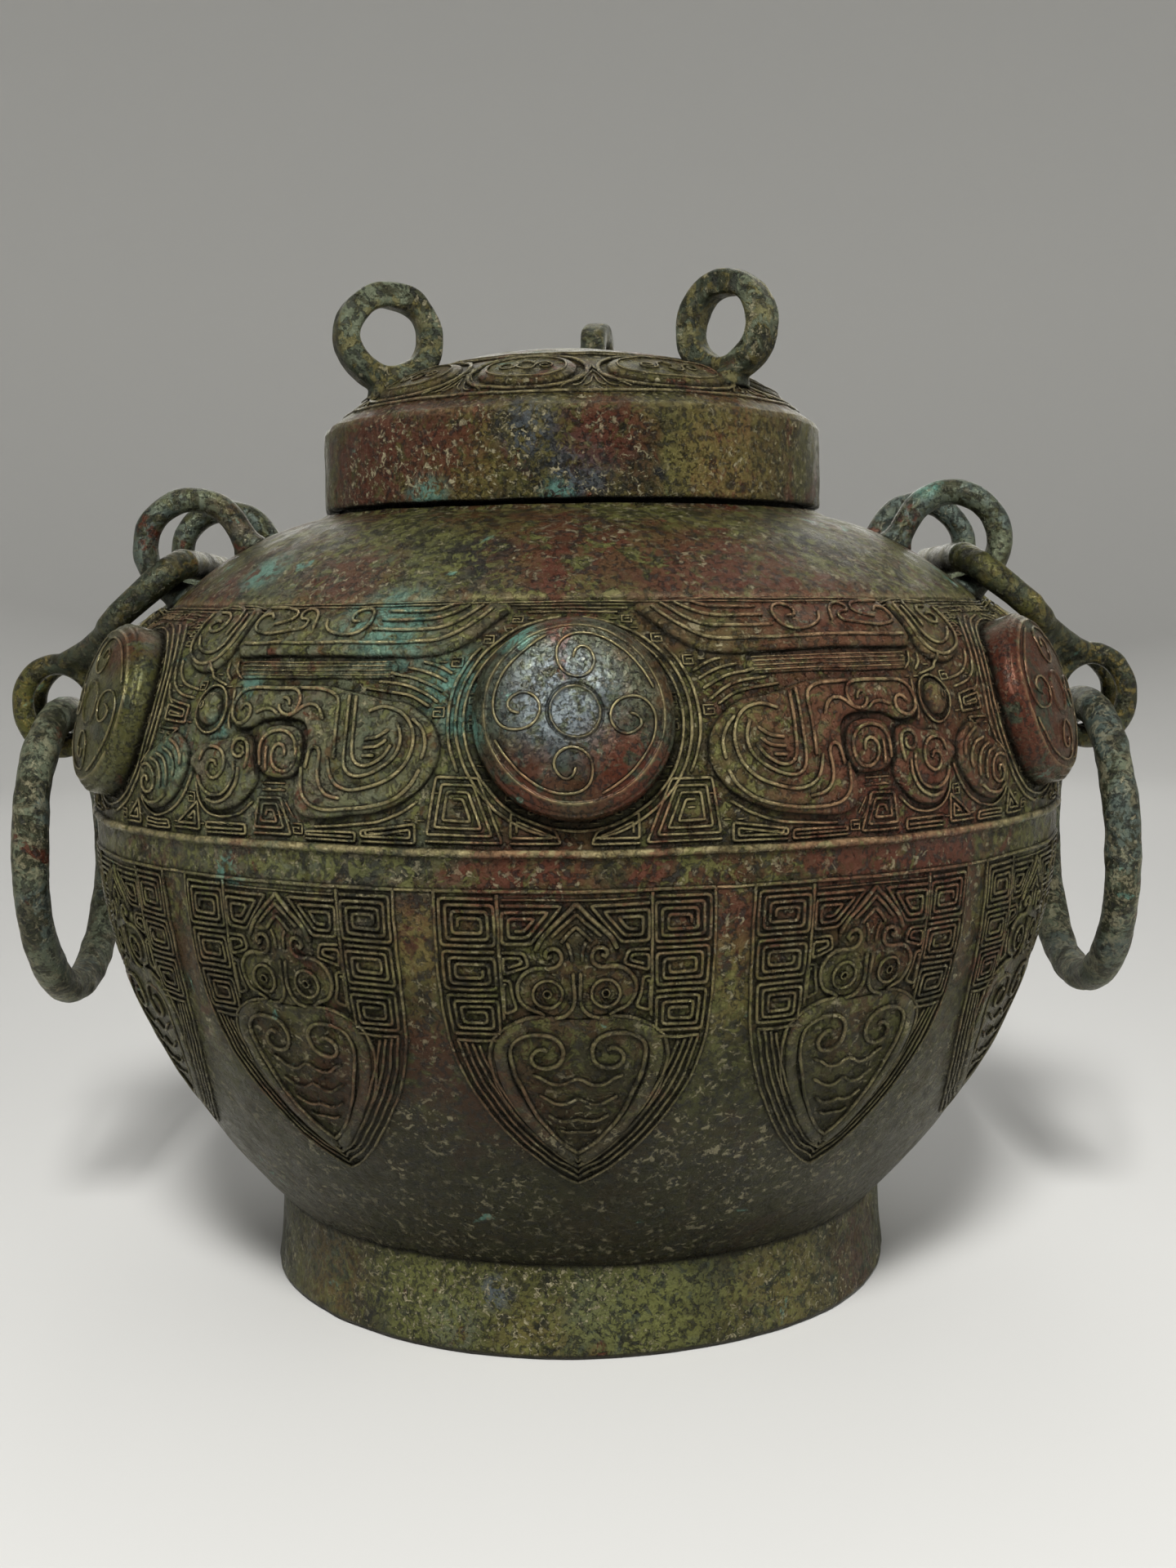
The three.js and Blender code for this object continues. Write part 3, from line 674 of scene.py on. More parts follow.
# Threads that follow the dragon's body, head and claws
DRAGON_THREADS = (
    ((-95, 49.8), (-80, 50), (-60, 49.9), (-42, 49.6), (-35.4, 49.8), (-31.4, 51.2), (-28, 53.4),
     (-24.6, 56.6), (-21.4, 60.4)),
    ((-53, 53.8), (-44, 53.4), (-36.4, 53.5), (-32.2, 54.6), (-29, 56.6), (-25.8, 59.8), (-24.2, 61.4)),
    ((-51.6, 57), (-44, 56.7), (-37.6, 56.8), (-33.6, 57.8), (-30.6, 59.4), (-28.2, 61.5)),
    ((-50.6, 60.1), (-44, 59.8), (-38.6, 59.9), (-35, 60.8), (-32.6, 62.2)),
    ((-69.5, 57.5), (-68, 54.6), (-64, 52.6), (-59, 52.2), (-55.8, 54.2), (-54.8, 57.5), (-56.2, 60.5),
     (-59.4, 61.2), (-61.7, 59.4), (-61, 56.8), (-58.8, 56.6)),
    ((-90.3, 58.2), (-92.3, 59.8), (-94.8, 58.8), (-95.3, 56), (-93.6, 53.9), (-89, 53), (-84, 53.4),
     (-79.5, 54.1), (-76.3, 54.6), (-75.6, 56.4), (-77, 57.7), (-79.4, 58), (-80.4, 59.7), (-79, 61.4),
     (-76.2, 61), (-73.9, 58.7), (-72.6, 54.4)),
    ((-88.5, 56), (-85, 56.8), (-82, 58.4), (-83.2, 61), (-88, 62.3), (-95, 62.4)),
    ((-87, 31.8), (-86, 33), (-84.5, 33.2), (-83.3, 31.5), (-84.3, 29.4), (-86.8, 28.4), (-89.2, 29.7),
     (-89.9, 32.5), (-88.6, 35.6), (-86, 37.1), (-82, 37.4), (-75, 37.5), (-71, 37.2), (-69, 35.9),
     (-68.5, 33.5), (-69.8, 31.2), (-72, 30.7), (-74, 31.6), (-74.5, 33.2)),
    ((-73.6, 35), (-72, 34.6), (-71.4, 33.1)),
    ((-81.5, 31.3), (-79, 32.2), (-76.5, 32), (-74.9, 31)),
    ((-72, 30.6), (-69.5, 31.3), (-67, 33), (-64.5, 33.4), (-62.5, 32.2), (-61.3, 29.8)),
    ((-69, 37.4), (-62, 37.1), (-58.8, 36), (-57.3, 34), (-57.4, 28), (-57.5, 20.5)),
    ((-66.4, 18), (-66.6, 13), (-65.5, 10.5), (-63, 8.9), (-58, 8.3), (-50, 8.9), (-44, 10.3),
     (-40, 12.4), (-37.3, 14.9), (-35.4, 18)),
    ((-65.2, 18), (-64.4, 21.3), (-63.6, 22.9), (-62.1, 22.9), (-61.3, 21.3), (-61.8, 17), (-61.4, 14),
     (-59.5, 11.8), (-56, 11)),
    ((-59.2, 20.5), (-58.5, 16.5), (-56.5, 14), (-53, 13), (-49, 13.5), (-44, 15.2), (-41, 17.2),
     (-38.3, 20.5), (-37.2, 25), (-38.1, 29), (-40.8, 31.7), (-45, 32.8), (-48.8, 31.6)),
    ((-35, 20.5), (-34.3, 24), (-35.4, 27.6), (-37.6, 30)),
    ((-54.4, 36), (-54.6, 28), (-54.8, 20), (-54, 17.2), (-51.6, 16.2), (-48, 16.9), (-44, 19),
     (-41.1, 22), (-40.2, 25.5), (-41.3, 29)),
    ((-52.7, 35.4), (-52.7, 28), (-52.6, 21.2), (-51, 18.9), (-48, 18.9), (-44.6, 20.9), (-42.7, 23.6)),
    ((-49.6, 24.9), (-46, 25.6), (-43.4, 27.3)),
    ((-49.8, 22.8), (-46, 23.3), (-43.9, 24.9)),
    ((-50, 20.9), (-47, 21)),
    ((-99.4, 15.2), (-98.4, 12.8), (-96.5, 11.2), (-94, 10.5), (-90.8, 11), (-88.3, 13), (-87, 16),
     (-87.3, 19)),
    ((-98.9, 19.3), (-97.6, 21.8), (-95, 22.7), (-91.8, 21.8), (-90.3, 19), (-91.2, 16.2), (-93.5, 14.8),
     (-95.7, 15.4), (-96.5, 17.3), (-95.6, 19), (-93.8, 19.1), (-93, 17.9)),
    ((-85.5, 22.9), (-84.3, 22.4), (-84.4, 20.9), (-86, 20.2), (-87.7, 21.2), (-87.7, 23.3),
     (-85.9, 24.7), (-83.6, 24), (-82.9, 21), (-83.6, 17.5)),
    ((-85.6, 17.6), (-86, 13.8), (-89, 10.2), (-93, 8.7), (-96.4, 9.4)),
    ((-79.2, 18.6), (-79.3, 23), (-77.6, 25.8), (-74.2, 26.9), (-70.6, 26.1), (-68.5, 23.4),
     (-68.6, 19.6), (-70.4, 17.3), (-73.2, 17.1), (-75.3, 18.8), (-75.6, 21.6), (-74, 23.6), (-71.9, 23),
     (-71.7, 21)),
    ((-77.3, 17.4), (-77.5, 20.2), (-77.3, 23)),
    ((-121.2, 12.8), (-121.6, 14), (-123, 14), (-124, 12.6), (-123.6, 10.7), (-121.6, 9.8),
     (-119.3, 10.7), (-118.2, 13), (-118.9, 15.6), (-121.5, 17.1), (-124.4, 16.3)),
    ((-124.6, 9.3), (-121.5, 7.4), (-117, 7.8), (-113.2, 9.8)),
    ((-119.8, 18.6), (-116.8, 17.8), (-115.2, 15), (-115.4, 11.6)),
    ((-117.2, 20), (-113.8, 18.8), (-112, 15.6), (-112.4, 12.3)),
    ((-114.6, 21.6), (-111, 20.2), (-109, 17.2), (-109.4, 14.6)),
    ((-111.9, 23.9), (-108.8, 22.4), (-106.8, 19.9), (-106.6, 17.6)),
    ((-119.4, 60), (-119.3, 55), (-118.2, 50), (-115.5, 46.4), (-110, 44.1), (-105, 44.2),
     (-101.8, 46.4), (-100.5, 50), (-100.3, 56), (-101.3, 61)),
    ((-116.3, 51.6), (-113.4, 48.6), (-109, 47), (-105, 47.8), (-103, 50.6), (-102.8, 56), (-103.6, 60)),
    ((-115.8, 60.4), (-112, 60.3), (-109.3, 57.8), (-110.1, 54.6), (-113.1, 53.5), (-115.4, 55.2),
     (-114.4, 57.4), (-112.4, 57)),
    ((-105.4, 52.5), (-105.4, 58), (-107, 62), (-112, 63), (-117.5, 62.2)),
)
# Threads on the ground round the dragon
GROUND_THREADS = (
    ((-120.8, 45.5), (-118.4, 41.8), (-114, 38.9), (-107.5, 37.4)),
    ((-121.6, 42.5), (-119.4, 38.9), (-115, 36.4), (-108.5, 35.1)),
    ((-121.5, 38.6), (-119.8, 35.6), (-117, 33.5)),
    ((-51, 38), (-44, 37), (-39, 35.9), (-34.6, 33.4)),
    ((-48, 39.9), (-41, 38.8), (-36.3, 37), (-32.6, 34.5)),
    ((-45, 41.7), (-39, 40.7), (-35, 39.2), (-31.6, 37.3)),
    ((-41, 43.4), (-36.6, 42.5), (-33.2, 41.2), (-30.8, 39.8)),
    ((-37, 45), (-33.6, 44), (-31, 42.8), (-29.6, 41.9)),
    ((-104.6, 44), (-103, 41), (-100, 39.9), (-96.5, 38.9)),
    ((-98.7, 45), (-98, 42.4), (-95.8, 40.4)),
    ((-95.4, 45.4), (-94.2, 42.6), (-91.6, 40.7)),
    ((-92.6, 37.5), (-91.9, 34), (-92.4, 30), (-91.6, 27.3)),
    ((-64, 3.9), (-57, 4.3), (-48, 5.4), (-42, 7.4), (-36.6, 10.6)),
    ((-101.8, 13.5), (-101, 9.4), (-98, 6), (-92, 4.9), (-86.5, 6.3), (-82.6, 9.2)),
    ((-127.8, 12), (-127, 7), (-122, 4.2), (-115.5, 4.7), (-109.8, 7.2), (-106, 11), (-103.2, 15.8)),
)
# Square spirals of the ground: corners, pitch, turns
GROUND_SPIRALS = (
    (((-82.2, 1.5), (-70.9, 1.5), (-73.7, 10.4), (-80.6, 10.4)), 1.5, 2.9),
    (((-34.4, 1.5), (-16.6, 1.5), (-22.2, 16.3), (-31.9, 16.3)), 1.65, 3.8),
    (((-14.8, 1.3), (-3.6, 1.3), (-4.6, 4.2), (-14.6, 8.6)), 1.35, 2),
    (((-111.6, 1.5), (-101.4, 1.5), (-101.4, 8.6)), 1.3, 2.2),
    (((-98.6, 0.9), (-85, 0.9), (-85, 3.4), (-98.6, 3.4)), 1.1, 1.5),
    (((-66.5, 0.8), (-52.4, 0.8), (-52.4, 2.9), (-66.5, 2.6)), 1, 1.5),
    (((-50.8, 0.9), (-37.2, 0.9), (-37.2, 5.4), (-50.8, 3.4)), 1.2, 1.9),
    (((-118.4, 34.5), (-109.2, 33), (-109.2, 28.4), (-118.4, 29.2)), 1.4, 2.3),
    (((-120, 27), (-111.6, 26.8), (-114, 24.9)), 1.2, 1.2),
    (((-125.4, 0.9), (-113.6, 0.9), (-114.2, 2.9), (-124.8, 2.9)), 1, 1.3),
    (((-137.6, 1.2), (-128.6, 1.2), (-129.2, 7.4)), 1.3, 2),
)
# Threads round the bosses beside a dragon: the boss's x, radius, first and last angle
BOSS_ARCS = (
    (0, 25.9, 90, 270), (0, 27.9, 96, 262), (0, 29.8, 142, 205), (-SECTOR, 25.9, -90, 90),
    (-SECTOR, 27.9, -82, 84), (-SECTOR, 30.1, -26, 64), (-SECTOR, 32.3, 20, 58),
)

# Size of a cell of the filling, and the free room that a cell, a dash and a spiral need
FILL_CELL = 3.5
PLATE_GAP = 0.7
DASH_GAP = 1.35
SPIRAL_GAP = 2.1


def fill_ground(relief, low, high):
    """Small square spirals, or dashes, where the ground between plates and threads is still free."""
    threads = np.concatenate(relief.lines)
    for row, y in enumerate(np.arange(low[1], high[1], FILL_CELL * 0.92)):
        for x in np.arange(low[0] + (row % 2) * FILL_CELL / 2, high[0], FILL_CELL):
            corners = np.array(square((x, y), FILL_CELL * 0.74, FILL_CELL * 0.68) + [(x, y)])
            gap = np.linalg.norm(threads - (x, y), axis=1).min()
            blocked = gap < DASH_GAP
            for border, _, _ in relief.plates:
                near = distance_to(corners, border).min() < PLATE_GAP
                blocked = blocked or near or inside(corners, border).any()
            if blocked:
                continue
            if gap > SPIRAL_GAP:
                field = square((x, y), FILL_CELL * 0.72, FILL_CELL * 0.66)
                relief.line(corner_spiral(field, 0.95, 1.5, 0), 0.62, 0.42)
            else:
                relief.line([(x - 0.9, y), (x + 0.9, y)], 0.6, 0.4)


def draw_dragon():
    """A dragon whose tail curls beside the front boss (x = 0), facing the next boss to the left."""
    relief = Relief()
    line = relief.line
    fine = {"width": 0.75, "height": 0.45}
    fields = (CREST, 1.75), (BODY, 1.7), (SNOUT, 1.8), (VOLUTE, 1.6), (CLAW, 1.6), (FOREHEAD, 1.6)
    for border, rise in fields:
        relief.plate(curve(border, 1.5, closed=True), rise)
    relief.plate(bent(BAR, 1.2, 3)[:-1], 0.7, 0.8)
    relief.plate(curl(EYE, 4.1, 4.1, 0, 1, 1.2, 1.12)[:-1], 2.1, 3.4, 1.2)
    line(curl(EYE, 5.6, 5.6, 0, 1, 1.1, 1.1)[:-1], 0.95, 0.8, closed=True)
    line(curl(PUPIL, 0.9, 0.9, 0, 1, 0.7)[:-1], 0.5, 0.35, closed=True)
    for points in DRAGON_THREADS:
        line(curve(points, 1.2), 1.15, 0.66)
    for place in (41.5, 42.7, 43.9, 45.0):
        line(evenly(np.array([(-91.5 - place * 0.3 + 12.4, place), (-45.2, place - 0.1)]), 6), 0.6, 0.32)
    for boss, reach, first, last in BOSS_ARCS:
        line(arc((boss, BOSS_LEVEL), reach, first, last, 1.8), 1.08, 0.62)
    for points in GROUND_THREADS:
        line(curve(points), 1.05, 0.6)
    for corners, pitch, turns in GROUND_SPIRALS:
        line(corner_spiral(corners, pitch, turns), 0.98, 0.62)
    for place, reach in ((63.6, 17.5), (62.0, 15.2), (60.4, 12.2)):
        line([(-reach, place), (-reach / 2, place), (0, place)], **fine)
        line([(-SECTOR, place), (reach - SECTOR, place - 0.2), (reach * 1.6 - SECTOR, place - 0.6)], **fine)
    for start, stop in VOLUTE_DASHES:
        line([start, stop], **fine)
    line(evenly(np.array([(-SECTOR, 64.9), (0, 64.9)]), 5), 0.9, 0.5)
    for place, margin in ((63.5, 18), (62.2, 23)):
        line(evenly(np.array([(margin - SECTOR, place), (-margin, place)]), 5), 0.75, 0.4)
    fill_ground(relief, (2.5 - SECTOR, 3), (-2.5, 63))
    return relief


# The right half of a hanging blade: x across, and the place up the belly
BLADE_TOP = 124.3
BLADE_TIP = 39.6
BLADE_EYE = (6.9, 99.3)
BLADE_EDGE = (
    (33.3, 124.3), (33.4, 112), (33.3, 100), (32.3, 86), (29, 74), (24.3, 64.5), (18, 55), (10.5, 46.8),
    (4, 41.6), (0, 39.6),
)
HEART = (
    (0, 92.6), (3, 92.8), (7, 93.4), (13, 92.5), (18, 90), (21.2, 87.2), (22.4, 83.6), (22.4, 80),
    (20.8, 72), (17, 64), (12, 57), (6, 50), (0, 46),
)
HEART_BAND = (
    (13.2, 90.3), (17.4, 88), (19.5, 84.2), (19.4, 79.4), (17.8, 72.4), (14.5, 65.2), (10.1, 58.2),
    (5, 52.2), (1.2, 48.9),
)
FACE = (
    (0, 121.4), (3.8, 118), (8, 113.8), (9.8, 110.6), (9.4, 107), (12.2, 105), (14.2, 102), (14, 98.8),
    (12.4, 95.9), (8.5, 94.2), (4, 93), (0, 92.4),
)
BLADE_SPIRALS = (
    (((18.9, 122.6), (32.2, 122.6), (32.2, 111.6), (18.9, 111.6)), 1.5, 3.6),
    (((19.2, 110.1), (31.9, 110.1), (31.9, 100.6), (19.2, 100.6)), 1.5, 3),
    (((19.2, 99), (31.6, 99), (31, 88.6), (19.2, 88.6)), 1.5, 3.2),
    (((17.2, 121), (3.4, 121), (10.6, 112), (17.2, 112)), 1.5, 2.7),
    (((17.3, 109.9), (12.3, 109.9), (11.2, 106.4), (17.3, 104.6)), 1.25, 1.8),
    (((17.7, 103), (15.9, 103), (15.6, 99), (14.4, 95.2), (17.7, 94)), 1.1, 1.2),
)
BLADE_THREADS = (
    (((18, 123.6), (18, 116), (18, 108), (18, 98), (18, 92.5)), 0.8, 0.46),
    (((19.4, 87.2), (24, 86.6), (30.4, 86.8)), 0.8, 0.46),
    (((0, 121.5), (3.8, 117.8), (7.8, 113.8), (9.5, 110.6)), 1, 0.6),
    (((0, 119.2), (3, 116.5), (5.8, 113.9)), 0.8, 0.5),
    (((0, 116.2), (1.8, 114.6), (3.5, 112.6)), 0.8, 0.5),
    (((5.9, 109.2), (6.9, 108.6), (7.2, 109.9), (6, 111), (4.2, 110.6), (3.5, 108.7), (4.2, 106.8),
     (6.2, 106), (9, 106.1), (11.9, 105), (14, 102.2), (14.1, 99), (12.5, 96), (9.6, 94.8),
     (8, 93.6)), 0.9, 0.6),
    (((5.2, 93), (3, 93.6), (1.2, 95.6), (0.6, 98), (0.7, 101), (0.9, 104.4)), 0.8, 0.55),
    (((2.2, 112.4), (1.4, 110.4), (1.2, 107.6)), 0.7, 0.45),
    (((8, 93.4), (13, 92.5), (18, 90), (21.2, 87.2), (22.3, 83.6), (22.4, 80), (20.9, 72), (17, 64),
     (12, 57), (6, 50), (0, 46.2)), 0.95, 0.5),
    (((7.6, 83.9), (8.8, 84.6), (10.4, 83.8), (11.6, 82.2), (11.1, 80), (9, 78.8), (6.2, 79.1),
     (4.2, 80.8), (3.5, 84.2), (4.8, 87), (7.8, 88.5), (12.8, 88.3), (16.2, 86.2), (17, 82.8),
     (16.3, 77.8), (14.4, 72.4), (12, 66), (8, 59), (4, 54), (0, 51)), 0.95, 0.55),
    (((11.4, 76.6), (9.4, 75.8), (7.6, 74.4), (5.6, 73.7), (3.4, 73.9), (1.6, 75),
     (0, 75.6)), 0.75, 0.5),
    (((10.1, 70.4), (8, 69.2), (6, 68), (3, 68), (1.4, 69), (0, 69.7)), 0.75, 0.5),
    (((8, 64.4), (6, 63), (4, 62.3), (2, 62.4), (0, 63)), 0.75, 0.5),
    (((5, 59.2), (3, 58.4), (0, 58.6)), 0.7, 0.45),
)


def mirrored_border(points):
    """A closed border from its right half, which starts and ends on x = 0."""
    half = curve(points, 1.4)
    return np.concatenate([half, (half * [-1, 1])[::-1][1:-1]])


def draw_blade():
    """A hanging blade filled with thunder-pattern squares round a cicada-like mask."""
    relief = Relief()
    both, line = relief.both, relief.line
    relief.plate(mirrored_border(HEART), 0.55, 0.9)
    relief.plate(mirrored_border(FACE), 0.45, 0.8)
    both(curve(HEART_BAND, 1.6), 4.6, 0.75, shade=0.25)
    line([(x, BLADE_TOP) for x in (-33.3, -22, -11, 0, 11, 22, 33.3)], 1.3, 0.7)
    both([(0, 122.4), (8.5, 122.4), (17, 122.4)], 0.85, 0.45)
    both(curve(BLADE_EDGE, 2.2), 1.15, 0.62)
    for inset, first in ((1.9, 86.6), (3.7, 86.2), (5.5, 85.8), (7.2, 85.2)):
        side = [(32.2 - inset, first)]
        side += [(x - inset * 0.94, y + inset * 0.45) for x, y in BLADE_EDGE[4:8]]
        tip = BLADE_TIP + inset * 1.15
        side += [(max(3.4 - inset * 0.25, 1.2), tip + 2.2), (0, tip)]
        both(curve(side, 2.0), 1.2, 0.6)
    for corners, pitch, turns in BLADE_SPIRALS:
        both(corner_spiral(corners, pitch, turns, 0.9), 1.22, 0.74)
    for points, width, height in BLADE_THREADS:
        both(curve(points, 1.0), width * 1.6, height * 1.45)
    for way in (-1, 1):
        centre = (BLADE_EYE[0] * way, BLADE_EYE[1])
        line(curl(centre, 3.5, 3.5, 0, 1, 1.0)[:-1], 1.1, 0.75, closed=True)
        line(curl(centre, 0.95, 0.95, 0, 1, 0.6)[:-1], 0.7, 0.8, closed=True)
    return relief


def make_ornament():
    """Three pieces with a pair of mirrored dragons each, and three with four hanging blades each."""
    dragon = draw_dragon()
    pair = dragon.gathered(), dragon.gathered(mirror=True)
    for index in range(3):
        copies = []
        for points, faces, crest in pair:
            flat = worn_flat(points, 120 * index)
            copies.append((wrapped(flat, frieze, FRIEZE_RADIUS, 120 * index), faces, crest))
        place_ornament(f"dragon_pair_{index + 1}", copies, "vessel", "body_bronze")
    blade = draw_blade().gathered()
    link = Relief()
    start, stop = 33.6, 2 * (BELLY_RADIUS * math.pi / 12) - 33.6
    link.line(evenly(np.array([(start, BLADE_TOP), (stop, BLADE_TOP)]), 4), 1.0, 0.5)
    for index in range(3):
        copies = []
        for azimuth in range(120 * index - 30, 120 * index + 90, 30):
            for (points, faces, crest), shade in ((blade, 0.36), (link.gathered(), 1.0)):
                copies.append((wrapped(points, belly, BELLY_RADIUS, azimuth), faces, crest * shade))
        place_ornament(f"hanging_blades_{index + 1}", copies, "vessel", "body_bronze")


def dome_place(radius):
    """How far up the dome's curve a radius lies."""
    return float(np.interp(-radius, -dome.points[:, 0], dome.places))


def draw_lid(width):
    """A cushion-like cartouche with a pair of curls, and half of the three-cornered field on each side."""
    relief = Relief()
    reach = DOME_RADIUS * math.radians(width) / 2
    low, high = dome_place(CARTOUCHE_OUT), dome_place(CARTOUCHE_IN)
    middle, tall = (low + high) / 2, (high - low) / 2

    def oval(half, rise, step=1.3):
        ring = curl((0, 0), half, half, 90, 1, step)[:-1] / half
        return np.sign(ring) * abs(ring) ** 0.86 * (half, rise) + (0, middle)

    relief.line(oval(reach - 1.5, tall - 0.4), 1.6, 0.9, closed=True)
    relief.plate(oval(reach - 4.0, tall - 2.7), 1.5, 2.6, 2.0)
    relief.line(oval(reach - 7.0, tall - 5.4, 1.1), 0.8, 0.4, closed=True)
    for side in (-1, 1):
        swirl = curl((0, 0), 0.8, 2.9, 40, 1.4, 0.9, 0.8)
        swirl = np.concatenate([swirl, curve([swirl[-1], (-3.3, -1.9), (-5.4, -2.9), (-7.8, -1.2)])])
        relief.line(swirl * [side, side] + [side * (reach * 0.3), middle], 0.8, 0.45)
    for points, width, height in (
        ([(0, middle + 3.6), (0.8, middle + 0.4), (3.2, middle - 4.2), (8.2, low + 0.7)], 0.95, 0.6),
        ([(0, middle - 0.8), (1.2, middle - 3.4), (3.4, low + 2.4), (5.4, low + 1.1)], 0.7, 0.45),
        ([(0, middle - 3.6), (1.0, low + 3.4), (2.6, low + 1.6)], 0.65, 0.4),
    ):
        relief.both(curve([(reach - inset, place) for inset, place in points]), width, height)
    for place, width in ((low - 1.7, 1.5), (high + 1.2, 1.1), (high + 3.3, 0.8)):
        relief.line(evenly(np.array([(-reach, place), (reach, place)]), 4), width, 0.65)
    return relief


def make_lid_ornament():
    """Nine cartouches, three between one lid ring and the next."""
    copies, first = [], RING_TURNS[0]
    for width in CARTOUCHE_WIDTHS:
        points, faces, crest = draw_lid(width).gathered()
        for index in range(3):
            azimuth = first - width / 2 + 120 * index
            copies.append((wrapped(points, dome, DOME_RADIUS, azimuth), faces, crest))
        first -= width
    place_ornament("lid_cartouches", copies, "lid", "lid_bronze")


# Finishes
def tone(red, green, blue):
    """A colour written as screen values from 0 to 255."""
    def linear(value):
        value /= 255
        return value / 12.92 if value <= 0.04045 else ((value + 0.055) / 1.055) ** 2.4
    return (linear(red), linear(green), linear(blue), 1.0)


OLIVE = tone(71, 70, 36)
DARK_OLIVE = tone(30, 30, 16)
# The next colour is only used for painted shade on the lower belly
PAINTED_SHADE_OLIVE = tone(20, 21, 10)
BROWN = tone(66, 47, 28)
CUPRITE = tone(73, 36, 25)
NEAR_BLACK = tone(22, 24, 27)
YELLOW_GREEN = tone(106, 96, 52)
LICHEN = tone(92, 84, 44)
OCHRE = tone(90, 68, 34)
MOSS = tone(95, 97, 52)
DARK_GREEN = tone(50, 56, 44)
GREY_GREEN = tone(86, 92, 74)
SEA_GREY = tone(70, 80, 74)
# STEEL_GREY is patina on the foot, painted highlight on the front boss and painted reflection on the lid's
# front
STEEL_GREY = tone(74, 82, 88)
PALE = tone(156, 148, 118)
TURQUOISE = tone(94, 136, 122)
TAN = tone(148, 136, 98)
RED_TAN = tone(140, 112, 82)
# The next colour is painted shade for grooves and hollows
PAINTED_HOLLOW_SHADE = tone(13, 11, 8)
WORN_BRASS = tone(128, 110, 52)


# The patina's shine, the depth of its grain, how far the painted shade reaches into hollows, and the heights
# between which painted shade darkens the lower belly
SPECULAR_LEVEL = 0.37
SPECULAR_TINT = (0.84, 0.80, 0.60, 1)
GRAIN_DEPTH = 1.2
HOLLOW_SHADE_REACH = 2.6
PAINTED_SHADE_FROM = 140
PAINTED_SHADE_FULL = 55


class Finish:
    """Builds one patinated bronze from object coordinates."""

    def __init__(self, name):
        self.material = bpy.data.materials.new(name)
        self.material.use_nodes = True
        self.tree = self.material.node_tree
        self.tree.nodes.clear()
        self.place = self.add("ShaderNodeTexCoord").outputs["Object"]
        self.height = self.add("ShaderNodeSeparateXYZ", {0: self.place}).outputs[2]

    def add(self, kind, inputs=None, **settings):
        """A node; an input is linked where its value is a socket, and set where it is a value."""
        node = self.tree.nodes.new(kind)
        for name, value in settings.items():
            setattr(node, name, value)
        for key, value in (inputs or {}).items():
            if isinstance(value, bpy.types.NodeSocket):
                self.tree.links.new(value, node.inputs[key])
            else:
                node.inputs[key].default_value = value
        return node

    def noise(self, size, detail, rough, distort=0.0, shift=0.0):
        """Cloudy noise whose features are about size millimetres wide."""
        offset = (shift, shift * 0.7, -shift)
        moved = self.add("ShaderNodeVectorMath", {0: self.place, 1: offset}, operation="ADD")
        inputs = {"Vector": moved.outputs[0], "Scale": 1 / (size * MM)}
        inputs.update({"Detail": detail, "Roughness": rough, "Distortion": distort})
        return self.add("ShaderNodeTexNoise", inputs).outputs["Fac"]

    def between(self, value, low, high):
        """0 below low, 1 above high, smooth in between."""
        inputs = {"Value": value, "From Min": low, "From Max": high}
        return self.add("ShaderNodeMapRange", inputs, interpolation_type="SMOOTHSTEP").outputs[0]

    def times(self, a, b):
        """The product of two values."""
        return self.add("ShaderNodeMath", {0: a, 1: b}, operation="MULTIPLY").outputs[0]

    def plus(self, a, b):
        """The sum of two values."""
        return self.add("ShaderNodeMath", {0: a, 1: b}, operation="ADD").outputs[0]

    def blend(self, share, a, b):
        """Colour a where share is 0, and colour b where it is 1."""
        return self.add("ShaderNodeMix", {0: share, 6: a, 7: b}, data_type="RGBA").outputs[2]

    def near(self, centre, radius, soft):
        """1 near a point in millimetres, fading to 0 between a share of the radius and the radius."""
        goal = tuple(v * MM for v in centre)
        gap = self.add("ShaderNodeVectorMath", {0: self.place, 1: goal}, operation="DISTANCE")
        return self.between(gap.outputs["Value"], radius * MM, radius * MM * soft)


def on_frieze(x, place):
    """A point of the frieze, from its flat coordinates."""
    return tuple(wrapped(np.array([[x, place, 0.0]]), frieze, FRIEZE_RADIUS)[0])


